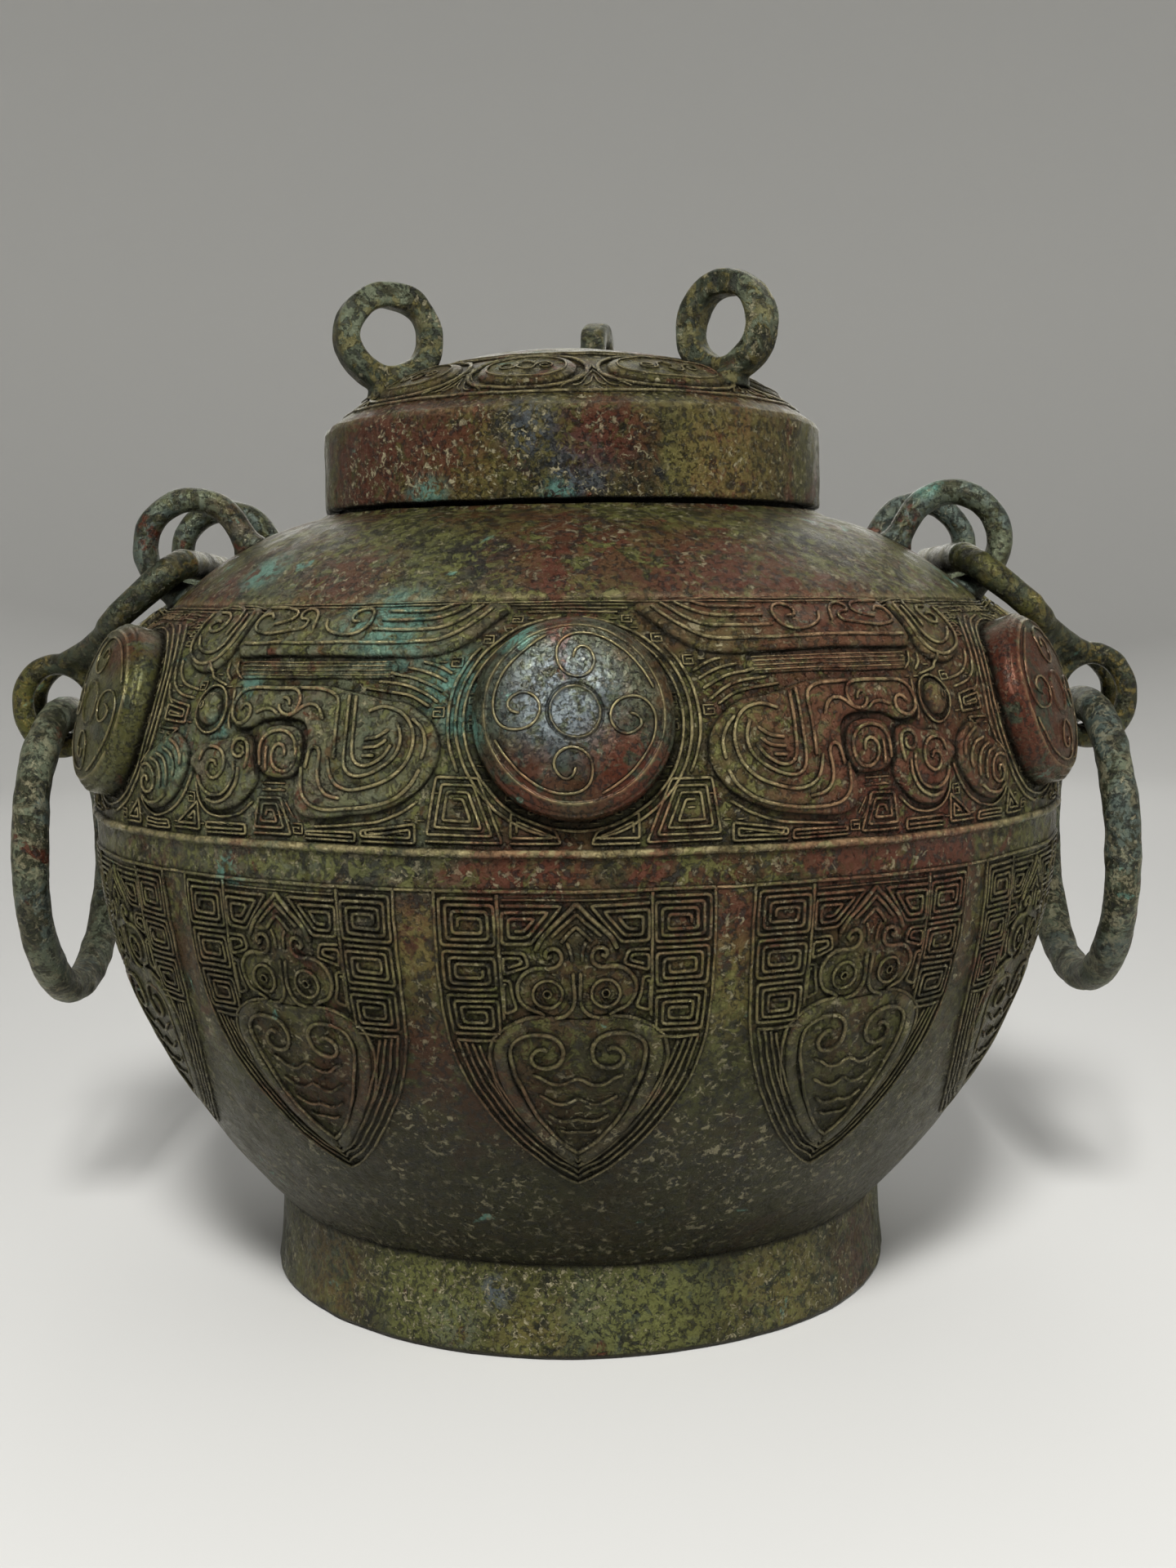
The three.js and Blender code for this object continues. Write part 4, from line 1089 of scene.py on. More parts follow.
def bronze(
    name, main, second, mottle, red, patches, relief=0.7, roughness=0.32, metal=0.30, grain=1.0,
    crumbs=0.5, shade_low=0.0, flecks=0.5, fine=0.6,
):
    """Cast bronze under a mottled patina: main and second alternate widely, mottle lies in flecks over both.

    red is the share of red oxide, patches are chosen spots, relief is how much the crests are lightened,
    partly as wear and partly as painted highlight, fine scales the flecks' size, roughness is spread by
    noise, and the other settings are strengths, among them that of the painted shade on the lower belly.
    """
    finish = Finish(name)
    add, times, plus = finish.add, finish.times, finish.plus
    between, noise, blend = finish.between, finish.noise, finish.blend

    # Ground colours and red oxide
    colour = blend(between(noise(40, 7, 0.62, 0.5), 0.45, 0.55), main, second)
    deep = between(noise(15 * fine, 7, 0.66, 1.0, 1.7), 0.48, 0.55)
    colour = blend(times(deep, 0.85), colour, DARK_OLIVE)
    rust = between(noise(30, 8, 0.66, 0.7, 0.83), 0.62 - red * 0.24, 0.66 - red * 0.22)
    rust = times(rust, between(noise(5 * fine, 7, 0.68, 0.6, 2.1), 0.40, 0.50))
    reds = times(rust, 0.92)
    colour = blend(reds, colour, CUPRITE)

    # Chosen spots with torn edges, those of verdigris later
    sizes = sorted({patch[4] for patch in patches})
    torn_edges = {size: noise(size, 7, 0.68, 0.8, size * 0.03) for size in sizes}
    for centre, radius, shade, strength, size in patches:
        if shade != TURQUOISE:
            torn = between(torn_edges[size], 0.42, 0.49)
            share = times(finish.near(centre, radius, 0.3), times(torn, strength))
            colour = blend(share, colour, shade)
            if shade == CUPRITE:
                reds = plus(reds, share)

    # Flecks, painted shade on the lower belly, dark stains and crumbs
    fleck = between(noise(6.5 * fine, 7, 0.64, 0.8, 0.31), 0.50, 0.55)
    fleck = times(fleck, between(noise(45, 4, 0.6, 0.4, 2.9), 0.36, 0.54))
    fleck = times(fleck, between(reds, 0.9, 0.3))
    colour = blend(times(fleck, flecks), colour, mottle)
    # painted shade: the lower belly darkens towards the bottom, standing in for the shade under the bulge
    if shade_low:
        low = between(finish.height, PAINTED_SHADE_FROM * MM, PAINTED_SHADE_FULL * MM)
        colour = blend(times(low, shade_low), colour, PAINTED_SHADE_OLIVE)
    dark = between(noise(3.6 * fine, 6, 0.64, 0.6, 5.3), 0.53, 0.58)
    colour = blend(times(dark, 0.70), colour, NEAR_BLACK)
    crumb = between(noise(3.2 * fine, 6, 0.66, 0.6, 0.5), 0.555, 0.60)
    crumb = times(crumb, between(noise(22, 5, 0.6, 0.3, 0.9), 0.38, 0.58))
    colour = blend(times(crumb, crumbs), colour, PALE)

    # Verdigris in chosen spots and by chance
    for centre, radius, shade, strength, size in patches:
        if shade == TURQUOISE:
            torn = between(torn_edges[size], 0.42, 0.52)
            colour = blend(times(finish.near(centre, radius, 0.25), times(torn, strength)), colour, shade)
    verdigris = between(noise(18, 7, 0.64, 0.5, 3.3), 0.64, 0.70)
    verdigris = times(verdigris, between(noise(3, 6, 0.66, 0.4, 1.1), 0.44, 0.53))
    colour = blend(times(verdigris, 0.8), colour, TURQUOISE)

    # Crests lightened, partly as wear and partly as painted highlight, and painted shade in the hollows
    crest = add("ShaderNodeAttribute", attribute_name="crest").outputs["Fac"]
    # wear and painted highlight: the tops of ridges are lightened towards tan
    worn = times(crest, between(noise(5, 7, 0.70, 0, 1.9), 0.36, 0.58))
    colour = blend(times(worn, relief), colour, blend(between(reds, 0.2, 0.8), TAN, RED_TAN))
    # painted shade: ambient occlusion darkens grooves, corners and the ground between threads
    hollow = add("ShaderNodeAmbientOcclusion", {"Distance": HOLLOW_SHADE_REACH * MM}, samples=8).outputs["AO"]
    colour = blend(times(between(hollow, 0.98, 0.62), 0.94), colour, PAINTED_HOLLOW_SHADE)

    # Roughness and the casting's grain
    lumps = plus(times(noise(1.1, 5, 0.65, 0.2), 0.25), times(noise(3.4, 8, 0.72, 0.9, 0.4), 0.80))
    for layer, height in ((crumb, 0.30), (fleck, 0.14), (dark, -0.30)):
        lumps = plus(lumps, times(layer, height))
    bump = add("ShaderNodeBump", {"Strength": 1.0, "Distance": GRAIN_DEPTH * grain * MM, "Height": lumps})
    sheen = {"Value": noise(7, 7, 0.7, 0, 0.7), "From Min": 0.38, "From Max": 0.62}
    sheen.update({"To Min": roughness - 0.08, "To Max": roughness + 0.20})
    rough = plus(add("ShaderNodeMapRange", sheen).outputs[0], times(worn, -0.18))
    inputs = {"Base Color": colour, "Metallic": metal, "Roughness": rough, "Normal": bump.outputs[0]}
    inputs.update({"Specular IOR Level": SPECULAR_LEVEL, "Specular Tint": SPECULAR_TINT})
    shader = add("ShaderNodeBsdfPrincipled", inputs)
    add("ShaderNodeOutputMaterial", {0: shader.outputs[0]})
    return finish.material


# Spots seen in the photo: centre, radius, colour, strength, and size of the torn edge
body_patches = (
    (on_frieze(-70, 34), 74, GREY_GREEN, 0.75, 8),
    (on_frieze(78, 34), 70, BROWN, 0.80, 9),
    ((75, -128, 163), 38, CUPRITE, 0.90, 6),
    ((90, -118, 148), 38, CUPRITE, 1.0, 6),
    ((58, -134, 175), 34, CUPRITE, 0.60, 6),
    ((115, -84, 182), 38, CUPRITE, 0.85, 7),
    (on_frieze(-52, 58), 17, TURQUOISE, 0.85, 6),
    (on_frieze(-45, 50), 12, TURQUOISE, 0.60, 4),
    (on_frieze(-28, 38), 13, TURQUOISE, 0.80, 4),
    (on_frieze(-26, 30), 7, TURQUOISE, 0.70, 3),
    (on_frieze(-87, 38), 6, TURQUOISE, 0.80, 3),
    (on_frieze(-95, 27), 5, TURQUOISE, 0.60, 3),
    (on_frieze(-112, 18), 13, TURQUOISE, 0.35, 4),
    ((-112, -61, 202), 28, CUPRITE, 0.60, 7),
    ((-59, -102, 210), 24, CUPRITE, 0.80, 6),
    ((-4, -106, 217), 30, CUPRITE, 0.75, 7),
    ((34, -112, 210), 34, CUPRITE, 0.85, 7),
    ((64, -111, 202), 34, CUPRITE, 0.85, 7),
    ((-84, -78, 215), 12, TURQUOISE, 0.85, 4),
    ((-24, -106, 216), 15, NEAR_BLACK, 0.75, 5),
    ((66, -84, 220), 20, NEAR_BLACK, 0.80, 6),
    ((-48, -139, 136), 20, NEAR_BLACK, 0.70, 7),
    ((-8, -147, 140), 16, CUPRITE, 0.95, 5),
    ((65, -132, 140), 28, CUPRITE, 0.85, 5),
    ((86, -119, 130), 27, CUPRITE, 0.95, 6),
    ((34, -142, 127), 20, CUPRITE, 0.75, 5),
    ((-36, -142, 125), 15, CUPRITE, 0.60, 5),
    ((-37, -132, 91), 23, CUPRITE, 0.90, 5),
    ((-19, -130, 77), 22, CUPRITE, 1.0, 6),
    ((-58, -121, 83), 20, CUPRITE, 0.80, 5),
    ((34, -138, 110), 20, YELLOW_GREEN, 0.70, 4),
    ((-38, -138, 122), 14, YELLOW_GREEN, 0.60, 4),
)
lid_patches = (
    ((-54, -54, 246), 34, CUPRITE, 0.85, 6),
    ((-30, -70, 240), 20, OCHRE, 0.55, 4),
    ((-34, -66, 247), 17, CUPRITE, 0.80, 5),
    # painted reflection: the near-black and steel-grey spots on the lid's front middle
    ((0, -77, 241), 24, NEAR_BLACK, 0.90, 4),
    ((2, -77, 240), 12, STEEL_GREY, 0.60, 3),
    ((9, -75, 251), 17, CUPRITE, 0.85, 4),
    ((50, -58, 246), 32, OCHRE, 0.50, 4),
    ((40, -65, 242), 24, YELLOW_GREEN, 0.55, 3),
    ((-40, -65, 232), 10, TURQUOISE, 0.75, 2.4),
    ((-4, -77, 232), 7, TURQUOISE, 0.75, 2),
    # painted reflection, like the spots on the lid's front middle above
    ((-12, -76, 252), 12, STEEL_GREY, 0.60, 4),
    ((24, -73, 238.5), 3.4, NEAR_BLACK, 1.0, 4),
)
foot_patches = (
    ((-73, -66, 14), 28, OCHRE, 0.55, 5),
    ((-45, -87, 14), 26, MOSS, 0.80, 5),
    ((-24, -95, 18), 8, STEEL_GREY, 0.90, 4),
    ((-62, -76, 9), 13, NEAR_BLACK, 0.70, 4),
    ((34, -91, 19), 15, NEAR_BLACK, 0.65, 4),
    ((-36, -92, 8), 12, GREY_GREEN, 0.70, 4),
    ((4, -98, 14), 14, GREY_GREEN, 0.65, 4),
    ((-12, -97, 6), 16, YELLOW_GREEN, 0.50, 5),
    ((18, -96, 12), 28, MOSS, 0.75, 4),
    ((58, -78, 14), 30, YELLOW_GREEN, 0.55, 6),
    ((84, -50, 12), 26, CUPRITE, 0.60, 6),
    ((47, -86, 8), 5, NEAR_BLACK, 0.95, 3),
)
lug_patches = (
    ((105, -24, 238), 7, TURQUOISE, 0.85, 3),
    ((-98, -22, 232), 14, BROWN, 0.80, 5),
)
link_patches = (
    ((131, -28, 204), 7, TURQUOISE, 0.85, 3),
    ((-140, -4, 190), 16, BROWN, 0.60, 5),
)
boss_patches = (
    # painted highlight: the steel-grey spot at the front boss's middle
    ((-3, -boss_out - 4, boss_level + 4), 20, STEEL_GREY, 0.80, 3),
    ((-13, -boss_out + 2, boss_level + 19), 7, TURQUOISE, 0.85, 4),
    ((-21, -boss_out - 1, boss_level - 3), 7, TURQUOISE, 0.75, 4),
    ((-11, -boss_out - 3, boss_level - 16), 17, CUPRITE, 0.95, 6),
    ((12, -boss_out - 3, boss_level - 13), 19, CUPRITE, 1.0, 6),
    ((119, -80, boss_level), 44, CUPRITE, 0.95, 8),
    ((-119, -80, boss_level), 44, OLIVE, 0.90, 9),
    ((-119, -80, boss_level + 16), 12, CUPRITE, 0.80, 6),
)
# Each finish's main, second and mottle colours, its red, its spots, and what differs from the usual
finishes = {
    "body_bronze": (OLIVE, BROWN, MOSS, 0.20, body_patches, {
        "relief": 0.95, "shade_low": 0.85, "roughness": 0.25, "flecks": 0.65, "fine": 0.62,
    }),
    "foot_bronze": (OLIVE, DARK_GREEN, MOSS, 0.02, foot_patches, {
        "roughness": 0.34, "crumbs": 0.8, "fine": 0.45,
    }),
    "lid_bronze": (BROWN, OLIVE, LICHEN, 0.38, lid_patches, {
        "grain": 1.3, "crumbs": 0.9, "roughness": 0.22, "flecks": 0.6, "fine": 0.5,
    }),
    "boss_bronze": (DARK_GREEN, BROWN, GREY_GREEN, 0.20, boss_patches, {
        "roughness": 0.13, "metal": 0.45, "grain": 0.25, "crumbs": 0.15, "flecks": 0.3, "fine": 0.35,
    }),
    "lid_ring_bronze": (GREY_GREEN, DARK_GREEN, YELLOW_GREEN, 0.10, (), {"grain": 0.9, "fine": 0.8}),
    "lug_bronze": (SEA_GREY, GREY_GREEN, OLIVE, 0.14, lug_patches, {
        "grain": 0.5, "roughness": 0.22, "crumbs": 0.2, "flecks": 0.4,
    }),
    "link_bronze": (DARK_GREEN, OLIVE, WORN_BRASS, 0.05, link_patches, {
        "grain": 0.5, "roughness": 0.20, "crumbs": 0.2, "flecks": 0.35,
    }),
    "bail_bronze": (SEA_GREY, GREY_GREEN, PALE, 0.06, (), {"grain": 0.8, "crumbs": 0.4, "flecks": 0.35}),
}
materials = {name: bronze(name, *tones, **settings) for name, (*tones, settings) in finishes.items()}


# Turned pieces and bosses
def make_body():
    """The hollow casting: bowl, waist bead, frieze, step and shoulder, up to the mouth."""
    bottom = FOOT_HEIGHT - FLOOR_SINK
    profile = [(0, bottom), (45, bottom + 1), (FOOT_TOP - FOOT_WALL, FOOT_HEIGHT), *belly.steps(2.4)[:-1]]
    for angle in np.radians(np.linspace(-90, 90, 9)):
        proud, lift = RIDGE_PROUD * math.cos(angle), RIDGE_WIDTH / 2 * math.sin(angle)
        profile.append((WAIST + proud, WAIST_HEIGHT + lift))
    profile += frieze.steps(2.2)[1:]
    profile += [(SHOULDER - 0.1, SHOULDER_HEIGHT - 0.25), (SHOULDER - 0.4, SHOULDER_HEIGHT)]
    profile += shoulder.steps(2.4)[1:]
    profile += [(MOUTH + 0.8, COLLAR_HEIGHT), (MOUTH, COLLAR_HEIGHT - 0.8), (MOUTH, COLLAR_HEIGHT - WALL)]
    inner_belly = belly.steps(6, -WALL)
    for inner in (shoulder.steps(6, -WALL, 0.08, 0.9), frieze.steps(6, -WALL, 0, 0.95), inner_belly):
        profile += inner[::-1]
    profile += [(inner_belly[0][0] / 2, bottom + WALL + 1), (0, bottom + WALL)]
    points, faces = lathe(profile, BODY_SEGMENTS)
    radius, height = np.hypot(points[:, 0], points[:, 1]), points[:, 2]
    # the bead's top and the step's edge are lightened through the crest, partly wear and partly painted
    # highlight
    bead_shade = np.exp(-(((height - WAIST_HEIGHT - 0.5) / 0.9) ** 2)) * (radius > WAIST + 0.4)
    step_shade = np.exp(-(((height - SHOULDER_HEIGHT) / 0.4) ** 2)) * (radius > SHOULDER - 1.2) * 0.5
    crest = np.maximum(bead_shade, step_shade)
    place_form("vessel_shell", (points, faces), "vessel", "body_bronze", "vessel_body", crest=crest)


def make_foot():
    """The ring foot, flared down to a rounded edge and hollow underneath."""
    middle = (FOOT_BOTTOM + FOOT_TOP) / 2 - 0.8
    edge = []
    for angle in np.radians(np.linspace(0, 90, 6)):
        out, lift = FOOT_EDGE * math.sin(angle), FOOT_EDGE * math.cos(angle)
        edge.append((FOOT_BOTTOM - FOOT_EDGE + out, FOOT_EDGE - lift))
    outside = Outline(edge[-1], (FOOT_BOTTOM - 0.6, 7), (middle, 12), (FOOT_TOP, FOOT_HEIGHT + 0.2))
    inner = FOOT_BOTTOM - FOOT_WALL
    profile = edge[:-1] + outside.steps(2)
    profile += [(FOOT_TOP - FOOT_WALL, FOOT_HEIGHT), (middle - FOOT_WALL, 13)]
    profile += [(inner, 0.8), (inner + 0.8, 0)]
    place_form("foot_band", lathe(profile, TURNED_SEGMENTS), "vessel", "foot_bronze", "foot_ring")


def make_neck():
    """The upright neck that the lid's skirt covers."""
    profile = [(MOUTH, COLLAR_HEIGHT), (NECK_OUT, COLLAR_HEIGHT), (NECK_OUT, NECK_TOP - 1.2)]
    profile += [(NECK_OUT - 0.4, NECK_TOP - 0.35), (NECK_OUT - 1.3, NECK_TOP)]
    profile += [(MOUTH + 1.3, NECK_TOP), (MOUTH + 0.4, NECK_TOP - 0.35), (MOUTH, NECK_TOP - 1.2)]
    place_form("neck_rim", lathe(profile, NECK_SEGMENTS), "vessel", "body_bronze", "neck_collar")


def make_lid():
    """The domed cap with its deep skirt, and the ledge inside that stands on the neck's rim."""
    places = np.linspace(0, dome.length, 400)
    ledge = next(place for place in places if dome.beside(place, -WALL)[0] < MOUTH)
    profile = [(0, DOME_TOP - WALL)] + dome.steps(5, -WALL, ledge / dome.length, 0.93)[::-1]
    profile += [(MOUTH, NECK_TOP), (SKIRT_IN, NECK_TOP)]
    profile += [(SKIRT_IN, SKIRT_LOW + 0.6), (SKIRT_IN + 0.6, SKIRT_LOW), (SKIRT_OUT - 0.9, SKIRT_LOW)]
    profile += [(SKIRT_OUT - 0.2, SKIRT_LOW + 0.5), (SKIRT_OUT, SKIRT_LOW + 1.4)]
    profile += [(SKIRT_OUT, z) for z in np.linspace(SKIRT_LOW + 3, SKIRT_TOP - 1.2, 9)]
    profile += dome.steps(1.6, 0, 0.012, 0.985) + [(0, DOME_TOP)]
    points, faces = lathe(profile, TURNED_SEGMENTS)
    outer = np.hypot(points[:, 0], points[:, 1]) > SKIRT_OUT - 1.5
    # the skirt's top edge is lightened through the crest, partly wear and partly painted highlight
    crest = np.exp(-(((points[:, 2] - SKIRT_TOP) / 0.9) ** 2)) * outer * 0.6
    place_form("lid_cover", (points, faces), "lid", "lid_bronze", "lid", crest=crest)


def boss_height(radius):
    """A boss's height over the frieze's tangent plane at a distance from its own axis."""
    radius = np.asarray(radius, float)
    share = np.clip(1 - (radius / BOSS_FACE) ** 2, 0, 1)
    height = BOSS_RIM + BOSS_RISE * share**0.52
    for place, rise, width in ((BOSS_RING, 0.5, 0.38), (BOSS_GROOVE, -0.24, 0.28), (BOSS_DISC, 0.5, 0.3)):
        height = height + rise * np.exp(-(((radius - place) / width) ** 2))
    return height


def on_boss(points):
    """Flat (right, up, height) points laid on the front boss."""
    out, rise = frieze.normal(BOSS_PLACE * frieze.length)
    right, up, height = points.T[:, :, None]
    placed = np.array([0, -boss_out, boss_level]) + right * np.array([1.0, 0, 0])
    return placed + up * np.array([0, rise, out]) + height * np.array([0, -out, rise])


def make_bosses():
    """Whorl bosses: a disc with four comma curls round a small disc, inside a ring."""
    spread = [np.linspace(0, 4, 5), np.linspace(4.5, 7.5, 22)]
    spread += [np.linspace(8.4, 19.2, 13), np.linspace(19.6, 21.6, 18)]
    spread.append(BOSS_FACE * np.sin(np.linspace(1.29, math.pi / 2, 10)))
    face = [(radius, float(boss_height(radius))) for radius in np.concatenate(spread)]
    profile = [(0, -BOSS_ROOT), (BOSS_RADIUS, -BOSS_ROOT), (BOSS_RADIUS, BOSS_RIM - 1.4)]
    profile += [(BOSS_RADIUS - 0.12, BOSS_RIM - 0.7), (BOSS_RADIUS - 0.45, BOSS_RIM - 0.25), *face[::-1]]
    points, faces = lathe(profile, 96)
    reach = np.hypot(points[:, 0], points[:, 1])
    # the ring and the disc's ridge are lightened through the crest, partly wear and partly painted highlight
    ring_shade = 0.8 * np.exp(-(((reach - BOSS_RING) / 0.35) ** 2))
    disc_shade = 0.7 * np.exp(-(((reach - BOSS_DISC) / 0.25) ** 2))
    comma = curve(COMMA) * COMMA_SIZE
    whorl = Relief()
    for quarter in range(4):
        angle = math.radians(90 * quarter)
        along, across = math.cos(angle), math.sin(angle)
        whorl.line(comma @ np.array([[along, across], [-across, along]]), width=0.85, height=0.5)
    threads, thread_faces, thread_crest = whorl.gathered()
    threads[:, 2] += boss_height(np.hypot(threads[:, 0], threads[:, 1]))
    points, faces = join((points, faces), (threads, thread_faces))
    crest = np.concatenate([ring_shade + disc_shade, thread_crest])
    for index in range(BOSSES):
        form = turned(on_boss(points), 360 / BOSSES * index), faces
        name = f"boss_{index + 1}"
        place_form(f"whorl_{name}", form, "vessel", "boss_bronze", name, crest=crest)


# Handles, drawn for the right side and turned half round for the left
def over_surface(points):
    """Each point's height over the shoulder and the upper frieze."""
    line = np.concatenate([frieze.points, shoulder.points])
    out = np.concatenate([frieze.normal(frieze.places), shoulder.normal(shoulder.places)])
    flat = np.stack([np.hypot(points[:, 0], points[:, 1]), points[:, 2]], -1)
    gap = flat[:, None] - line[None]
    nearest = (gap**2).sum(-1).argmin(1)
    rows = np.arange(len(points))
    return (gap[rows, nearest] * out[nearest]).sum(-1)


lug_seat = shoulder.at(LUG_PLACE * shoulder.length)
lug_normal = shoulder.normal(LUG_PLACE * shoulder.length)
lug_centre = lug_seat + lug_normal * LUG_LIFT
bar_drop = LUG_LIFT - LINK_ROD / 2 - REST_CLEARANCE
bar_reach = LUG_ARCH - LUG_ROD / 2 - LINK_ROD / 2 - REST_CLEARANCE
bar_slide = math.sqrt(bar_reach**2 - bar_drop**2)
hinge = lug_centre - lug_normal * bar_drop + np.array([lug_normal[1], -lug_normal[0]]) * bar_slide
shank_gap = LINK_ROD / 2 + REST_CLEARANCE + RELIEF + LINK_OVER_RELIEF
shank_seat = frieze.beside(SHANK_PLACE * frieze.length, shank_gap)
slope = (shank_seat - hinge) / np.linalg.norm(shank_seat - hinge)
stirrup_half = LUG_SPACING / 2 + LUG_ROD / 2 + LINK_ROD / 2 + REST_CLEARANCE
eye_reach = (EYE_SPACING + EYE_ROD) / 2
bail_drop = BAIL_RADIUS - math.sqrt(BAIL_RADIUS**2 - eye_reach**2)
eye_level = BAIL_CENTRE + BAIL_RADIUS + EYE_RISE - BAIL_ROD / 2 - REST_CLEARANCE - bail_drop


def make_arch(name, side, turn):
    """One half-round rod arch, flared where it grows out of the shoulder."""
    angles = np.linspace(LUG_START, LUG_END, 40)
    x = lug_centre[0] + LUG_ARCH * np.cos(angles)
    z = lug_centre[1] + LUG_ARCH * np.sin(angles)
    roots = np.linspace(LUG_ROOT, 0.6, 16)
    first = [(x[0] + r * math.sin(LUG_START), z[0] - r * math.cos(LUG_START)) for r in roots]
    last = [(x[-1] - r * math.sin(LUG_END), z[-1] + r * math.cos(LUG_END)) for r in roots[::-1]]
    flat = np.array([*first, *zip(x, z), *last])
    path = np.column_stack([flat[:, 0], np.full(len(flat), side * LUG_SPACING / 2), flat[:, 1]])
    over = over_surface(path)
    path, over = path[over > LUG_BURIED], over[over > LUG_BURIED]
    radii = LUG_ROD / 2 * (1 + 0.42 * np.exp(-np.maximum(over, 0) / 1.8))
    points, faces = tube(path, radii, 20)
    place_form(name, (turned(points, turn), faces), "vessel", "lug_bronze", name, shape=rod_warp)


def blended(name, parts, turn, voxel, smooth):
    """Overlapping solids, turned in place and melted into one skin, as in one casting."""
    points, faces = join(*[(turned(points, turn), faces) for points, faces in parts])
    rough = bpy.data.objects.new(name, make_mesh(name, points, faces, shape=rod_warp))
    bpy.context.collection.objects.link(rough)
    melt = rough.modifiers.new("melt", "REMESH")
    melt.mode, melt.voxel_size, melt.use_smooth_shade = "VOXEL", voxel * MM, True
    soften = rough.modifiers.new("soften", "SMOOTH")
    soften.factor, soften.iterations = 0.5, smooth
    graph = bpy.context.evaluated_depsgraph_get()
    mesh = bpy.data.meshes.new_from_object(rough.evaluated_get(graph))
    bpy.data.objects.remove(rough)
    mesh.name = name
    return mesh


def in_slope(along, across):
    """A point of the stirrup's plane: down the slope from the hinge, and across to the side."""
    x, z = hinge + slope * along
    return (x, across, z)


def make_link(side, turn):
    """The stirrup through both arches; its rods narrow and run through a web into the eye's two strands."""
    half, length, corner = stirrup_half, STIRRUP_LENGTH, STIRRUP_CORNER
    bar = [in_slope(0, across) for across in np.linspace(-half + 5, half - 5, 12)]
    parts = [tube(np.array(bar), LINK_ROD / 2, 16)]
    # The rod's way down the slope, and its share of the full thickness
    rod = (
        (corner * 0.06, half - corner, 1), (corner * 0.12, half - corner * 0.5, 1),
        (corner * 0.45, half - 0.9, 1), (corner, half, 0.98),
        (length * 0.45, half, 0.96), (length * 0.70, half + 0.1, 0.92),
        (length * 0.86, half - 3.8, 0.88), (length * 0.98, half - 11.0, 0.84), (length, half - 20, 0.84),
        (length, 6, 0.84),
    )
    radii = LINK_ROD / 2 * np.array([share for _, _, share in rod])
    for way in (-1, 1):
        parts.append(tube(np.array([in_slope(along, way * across) for along, across, _ in rod]), radii, 16))
    # The eye's two strands, each held by the web's ribs
    angles = np.linspace(0, 2 * math.pi, EYE_POINTS, endpoint=False)
    thick = EYE_ROD / 2 * (1 + 0.10 * np.exp(-(((angles - 2.2) / 0.6) ** 2)))
    ribs = ((length * 0.86, half - 5.6, 3.1), (length * 0.98, half - 14, 3.4), (length, 8, 3.4))
    eye = []
    for strand in (-1, 1):
        ring = np.column_stack([
            BAIL_PLANE + (EYE_HALF_WIDTH + EYE_ROD / 2) * np.cos(angles),
            np.full(EYE_POINTS, strand * EYE_SPACING / 2),
            eye_level + (EYE_RISE + EYE_ROD / 2) * np.sin(angles),
        ])
        eye.append(tube(ring, thick, 16, closed=True))
        for along, across, radius in ribs:
            start = np.array(in_slope(along, strand * across))
            for degrees, thin in ((92, 2.9), (122, 3.1), (150, 2.9), (176, 2.6)):
                stop = ring[round(degrees * EYE_POINTS / 360)]
                middle = (start + stop) / 2 + np.array([-0.5, 0, -0.7])
                path = np.array([start, (start + middle) / 2, middle, (middle + stop) / 2, stop])
                parts.append(tube(path, [radius, radius * 0.94, thin, thin, thin], 10))
    # The web's middle
    start = np.array(in_slope(length, 0))
    stop = np.array([BAIL_PLANE - EYE_HALF_WIDTH * 0.5, 0, eye_level + EYE_RISE + EYE_ROD * 0.35])
    for across, radius in ((-5.5, 2.4), (0, 2.2), (5.5, 2.4)):
        shift = np.array([0, across, 0])
        path = np.array([start + shift, (start + stop) / 2 + shift * 0.8, stop + shift * 0.5])
        parts.append(tube(path, radius, 10))
    mesh = blended(f"link_{side}", parts + eye, turn, LINK_VOXEL, 5)
    place_piece(f"chain_link_{side}", mesh, f"{side}_link", "link_bronze", f"link_{side}")


def make_bail(side, turn):
    """The large loose ring, hanging edge-on to the vessel's axis."""
    angles = np.linspace(0, 2 * math.pi, BAIL_POINTS, endpoint=False)
    across, level = BAIL_RADIUS * np.sin(angles), BAIL_CENTRE + BAIL_RADIUS * np.cos(angles)
    path = np.column_stack([np.full(BAIL_POINTS, BAIL_PLANE), across, level])
    radii = BAIL_ROD / 2 * (1 + 0.018 * np.sin(angles * 5 + 1) + 0.012 * np.sin(angles * 11))
    points, faces = tube(path, radii, 24, closed=True)
    form = turned(points, turn), faces
    place_form(f"bail_{side}_ring", form, f"{side}_bail", "bail_bronze", f"bail_{side}", shape=rod_warp)


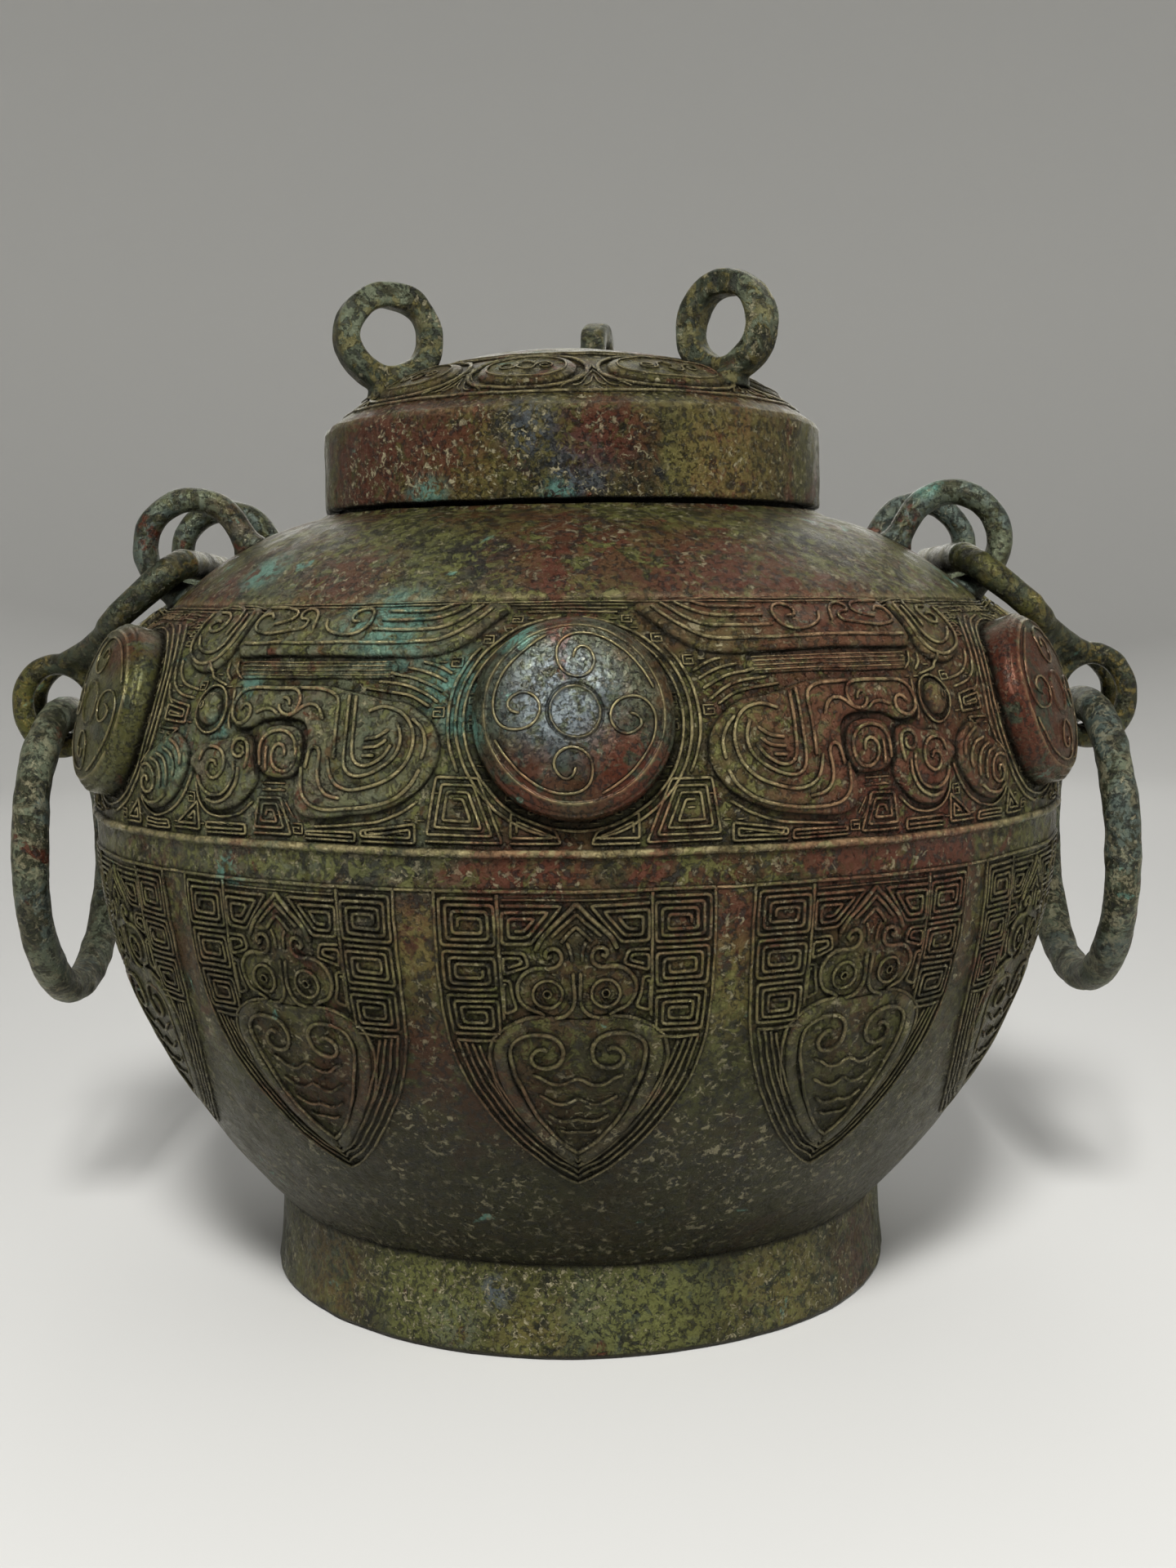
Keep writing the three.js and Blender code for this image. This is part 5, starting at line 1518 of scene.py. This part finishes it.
def make_lid_ring(index, turn):
    """A stout ring with flat sides and a worn hole, in line with the lid's axis on a blob of bronze."""
    low = float(dome.at(dome_place(RING_PLACE))[1])
    around = np.linspace(0, 2 * math.pi, 120, endpoint=False)
    section = np.linspace(0, 2 * math.pi, 32, endpoint=False)
    outer = RING_HOLE + RING_THICK + 0.12 * np.cos(around * 3 + index)
    hole = RING_HOLE - 0.55 + 0.35 * np.cos(around * 2 + index * 2) + 0.22 * np.cos(around * 5 + index)
    reach, thick = (outer + hole) / 2, outer - hole
    inward = np.sign(np.cos(section)) * abs(np.cos(section)) ** 0.45 / 2
    wide = np.sign(np.sin(section)) * abs(np.sin(section)) ** 0.45 * RING_WIDE / 2
    radius = reach[:, None] + inward * thick[:, None]
    points = np.stack([
        np.broadcast_to(wide, radius.shape),
        radius * np.cos(around)[:, None] - RING_PLACE,
        radius * np.sin(around)[:, None] + low + RING_LIFT,
    ], -1).reshape(-1, 3)
    rows = np.arange(len(points)).reshape(radius.shape)
    ahead = np.roll(rows, -1, 0)
    quads = np.stack([rows, np.roll(rows, -1, 1), np.roll(ahead, -1, 1), ahead], -1).reshape(-1, 4)
    blob = np.array([(0, 0, -3), (0.3, 0, 0.8), (0.2, 0.4, 3.6)]) + (0, -RING_PLACE, low)
    lump = np.array([(-3.2, 4.6, -1.4), (2.6, 5.4, 0.4), (5.6, 1.6, -1.8)]) + (0, -RING_PLACE, low)
    parts = [(points, [quads]), tube(blob, [7.2, 6.4, 4.6], 20), tube(lump, [2.6, 3.0, 2.4], 12)]
    mesh = blended(f"lid_ring_{index}", parts, turn, RING_VOXEL, 3)
    place_piece(f"lid_ring_{index}_loop", mesh, "lid", "lid_ring_bronze", f"lid_ring_{index}")


make_body()
make_foot()
make_neck()
make_lid()
make_bosses()
make_ornament()
make_lid_ornament()
for side, turn in (("right", 0), ("left", 180)):
    make_arch(f"lug_arch_a_{side}", -1, turn)
    make_arch(f"lug_arch_b_{side}", 1, turn)
    make_link(side, turn)
    make_bail(side, turn)
for index, turn in enumerate(RING_TURNS):
    make_lid_ring(index + 1, turn)


# Ground, light and camera: the floor in millimetres, the lamps and the camera in metres
FLOOR_FLAT = 1700
FLOOR_BEND = 700
FLOOR_WALL = 2600
FLOOR_DROP = 0.05
LAMP_GOAL = (0, 0, 0.15)
LAMPS = (
    ("key", (-0.05, -1.03, 1.12), 27, 0.30),
    ("fill", (1.15, -0.65, 0.60), 4.5, 1.2),
    ("back", (0.1, 1.40, 1.10), 11, 1.6),
)
# The photo's view, found by laying the CAD's outline over it: place, angles in radians, lens in millimetres
CAMERA_PLACE = (0.0018, -0.5445, 0.1989)
CAMERA_PITCH = 0.09444
CAMERA_ROLL = -0.01102
CAMERA_YAW = 0.003485
CAMERA_LENS = 39.52
CAMERA_SENSOR = 36


def make_stage():
    """A round pale floor that curves up into a wall far away on every side."""
    profile = [(0, 0), (600, 0)]
    for angle in np.radians(np.linspace(0, 90, 16)):
        across, up = FLOOR_BEND * math.sin(angle), FLOOR_BEND * math.cos(angle)
        profile.append((FLOOR_FLAT + across, FLOOR_BEND - up))
    points, faces = lathe([*profile, (FLOOR_FLAT + FLOOR_BEND, FLOOR_WALL)], 96)
    mesh = make_mesh("floor", points, faces, shape=lambda flat: flat - [0, 0, FLOOR_DROP])
    floor = bpy.data.objects.new("floor", mesh)
    bpy.context.collection.objects.link(floor)
    material = bpy.data.materials.new("floor")
    material.use_nodes = True
    shader = material.node_tree.nodes["Principled BSDF"]
    shader.inputs["Base Color"].default_value = tone(205, 204, 200)
    shader.inputs["Roughness"].default_value = 0.9
    floor.data.materials.append(material)


def make_lamp(name, place, power, size):
    """A square lamp that looks at the middle of the vessel."""
    lamp = bpy.data.lights.new(name, "AREA")
    lamp.energy, lamp.size = power, size
    holder = bpy.data.objects.new(name, lamp)
    bpy.context.collection.objects.link(holder)
    holder.location = place
    holder.rotation_euler = (Vector(LAMP_GOAL) - Vector(place)).to_track_quat("-Z", "Y").to_euler()


def make_camera():
    """About 0.54 m in front of the axis, level with the frieze's top, looking slightly down."""
    pitch, roll, yaw = CAMERA_PITCH, CAMERA_ROLL, CAMERA_YAW
    look = Vector((math.sin(yaw) * math.cos(pitch), math.cos(yaw) * math.cos(pitch), -math.sin(pitch)))
    right = Vector((math.cos(yaw), -math.sin(yaw), 0))
    top = right.cross(look)
    side = right * math.cos(roll) + top * math.sin(roll)
    above = -right * math.sin(roll) + top * math.cos(roll)
    lens = bpy.data.cameras.new("camera")
    lens.lens = CAMERA_LENS
    lens.sensor_width = CAMERA_SENSOR
    camera = bpy.data.objects.new("camera", lens)
    bpy.context.collection.objects.link(camera)
    turned_view = Matrix((side, above, -look)).transposed().to_4x4()
    camera.matrix_world = Matrix.Translation(CAMERA_PLACE) @ turned_view
    bpy.context.scene.camera = camera


make_stage()
make_camera()
for lamp in LAMPS:
    make_lamp(*lamp)
world = bpy.data.worlds.new("studio")
bpy.context.scene.world = world
world.use_nodes = True
background = world.node_tree.nodes["Background"]
background.inputs["Color"].default_value = (0.8, 0.82, 0.85, 1)
background.inputs["Strength"].default_value = 0.20
bpy.context.scene.view_settings.view_transform = "Standard"
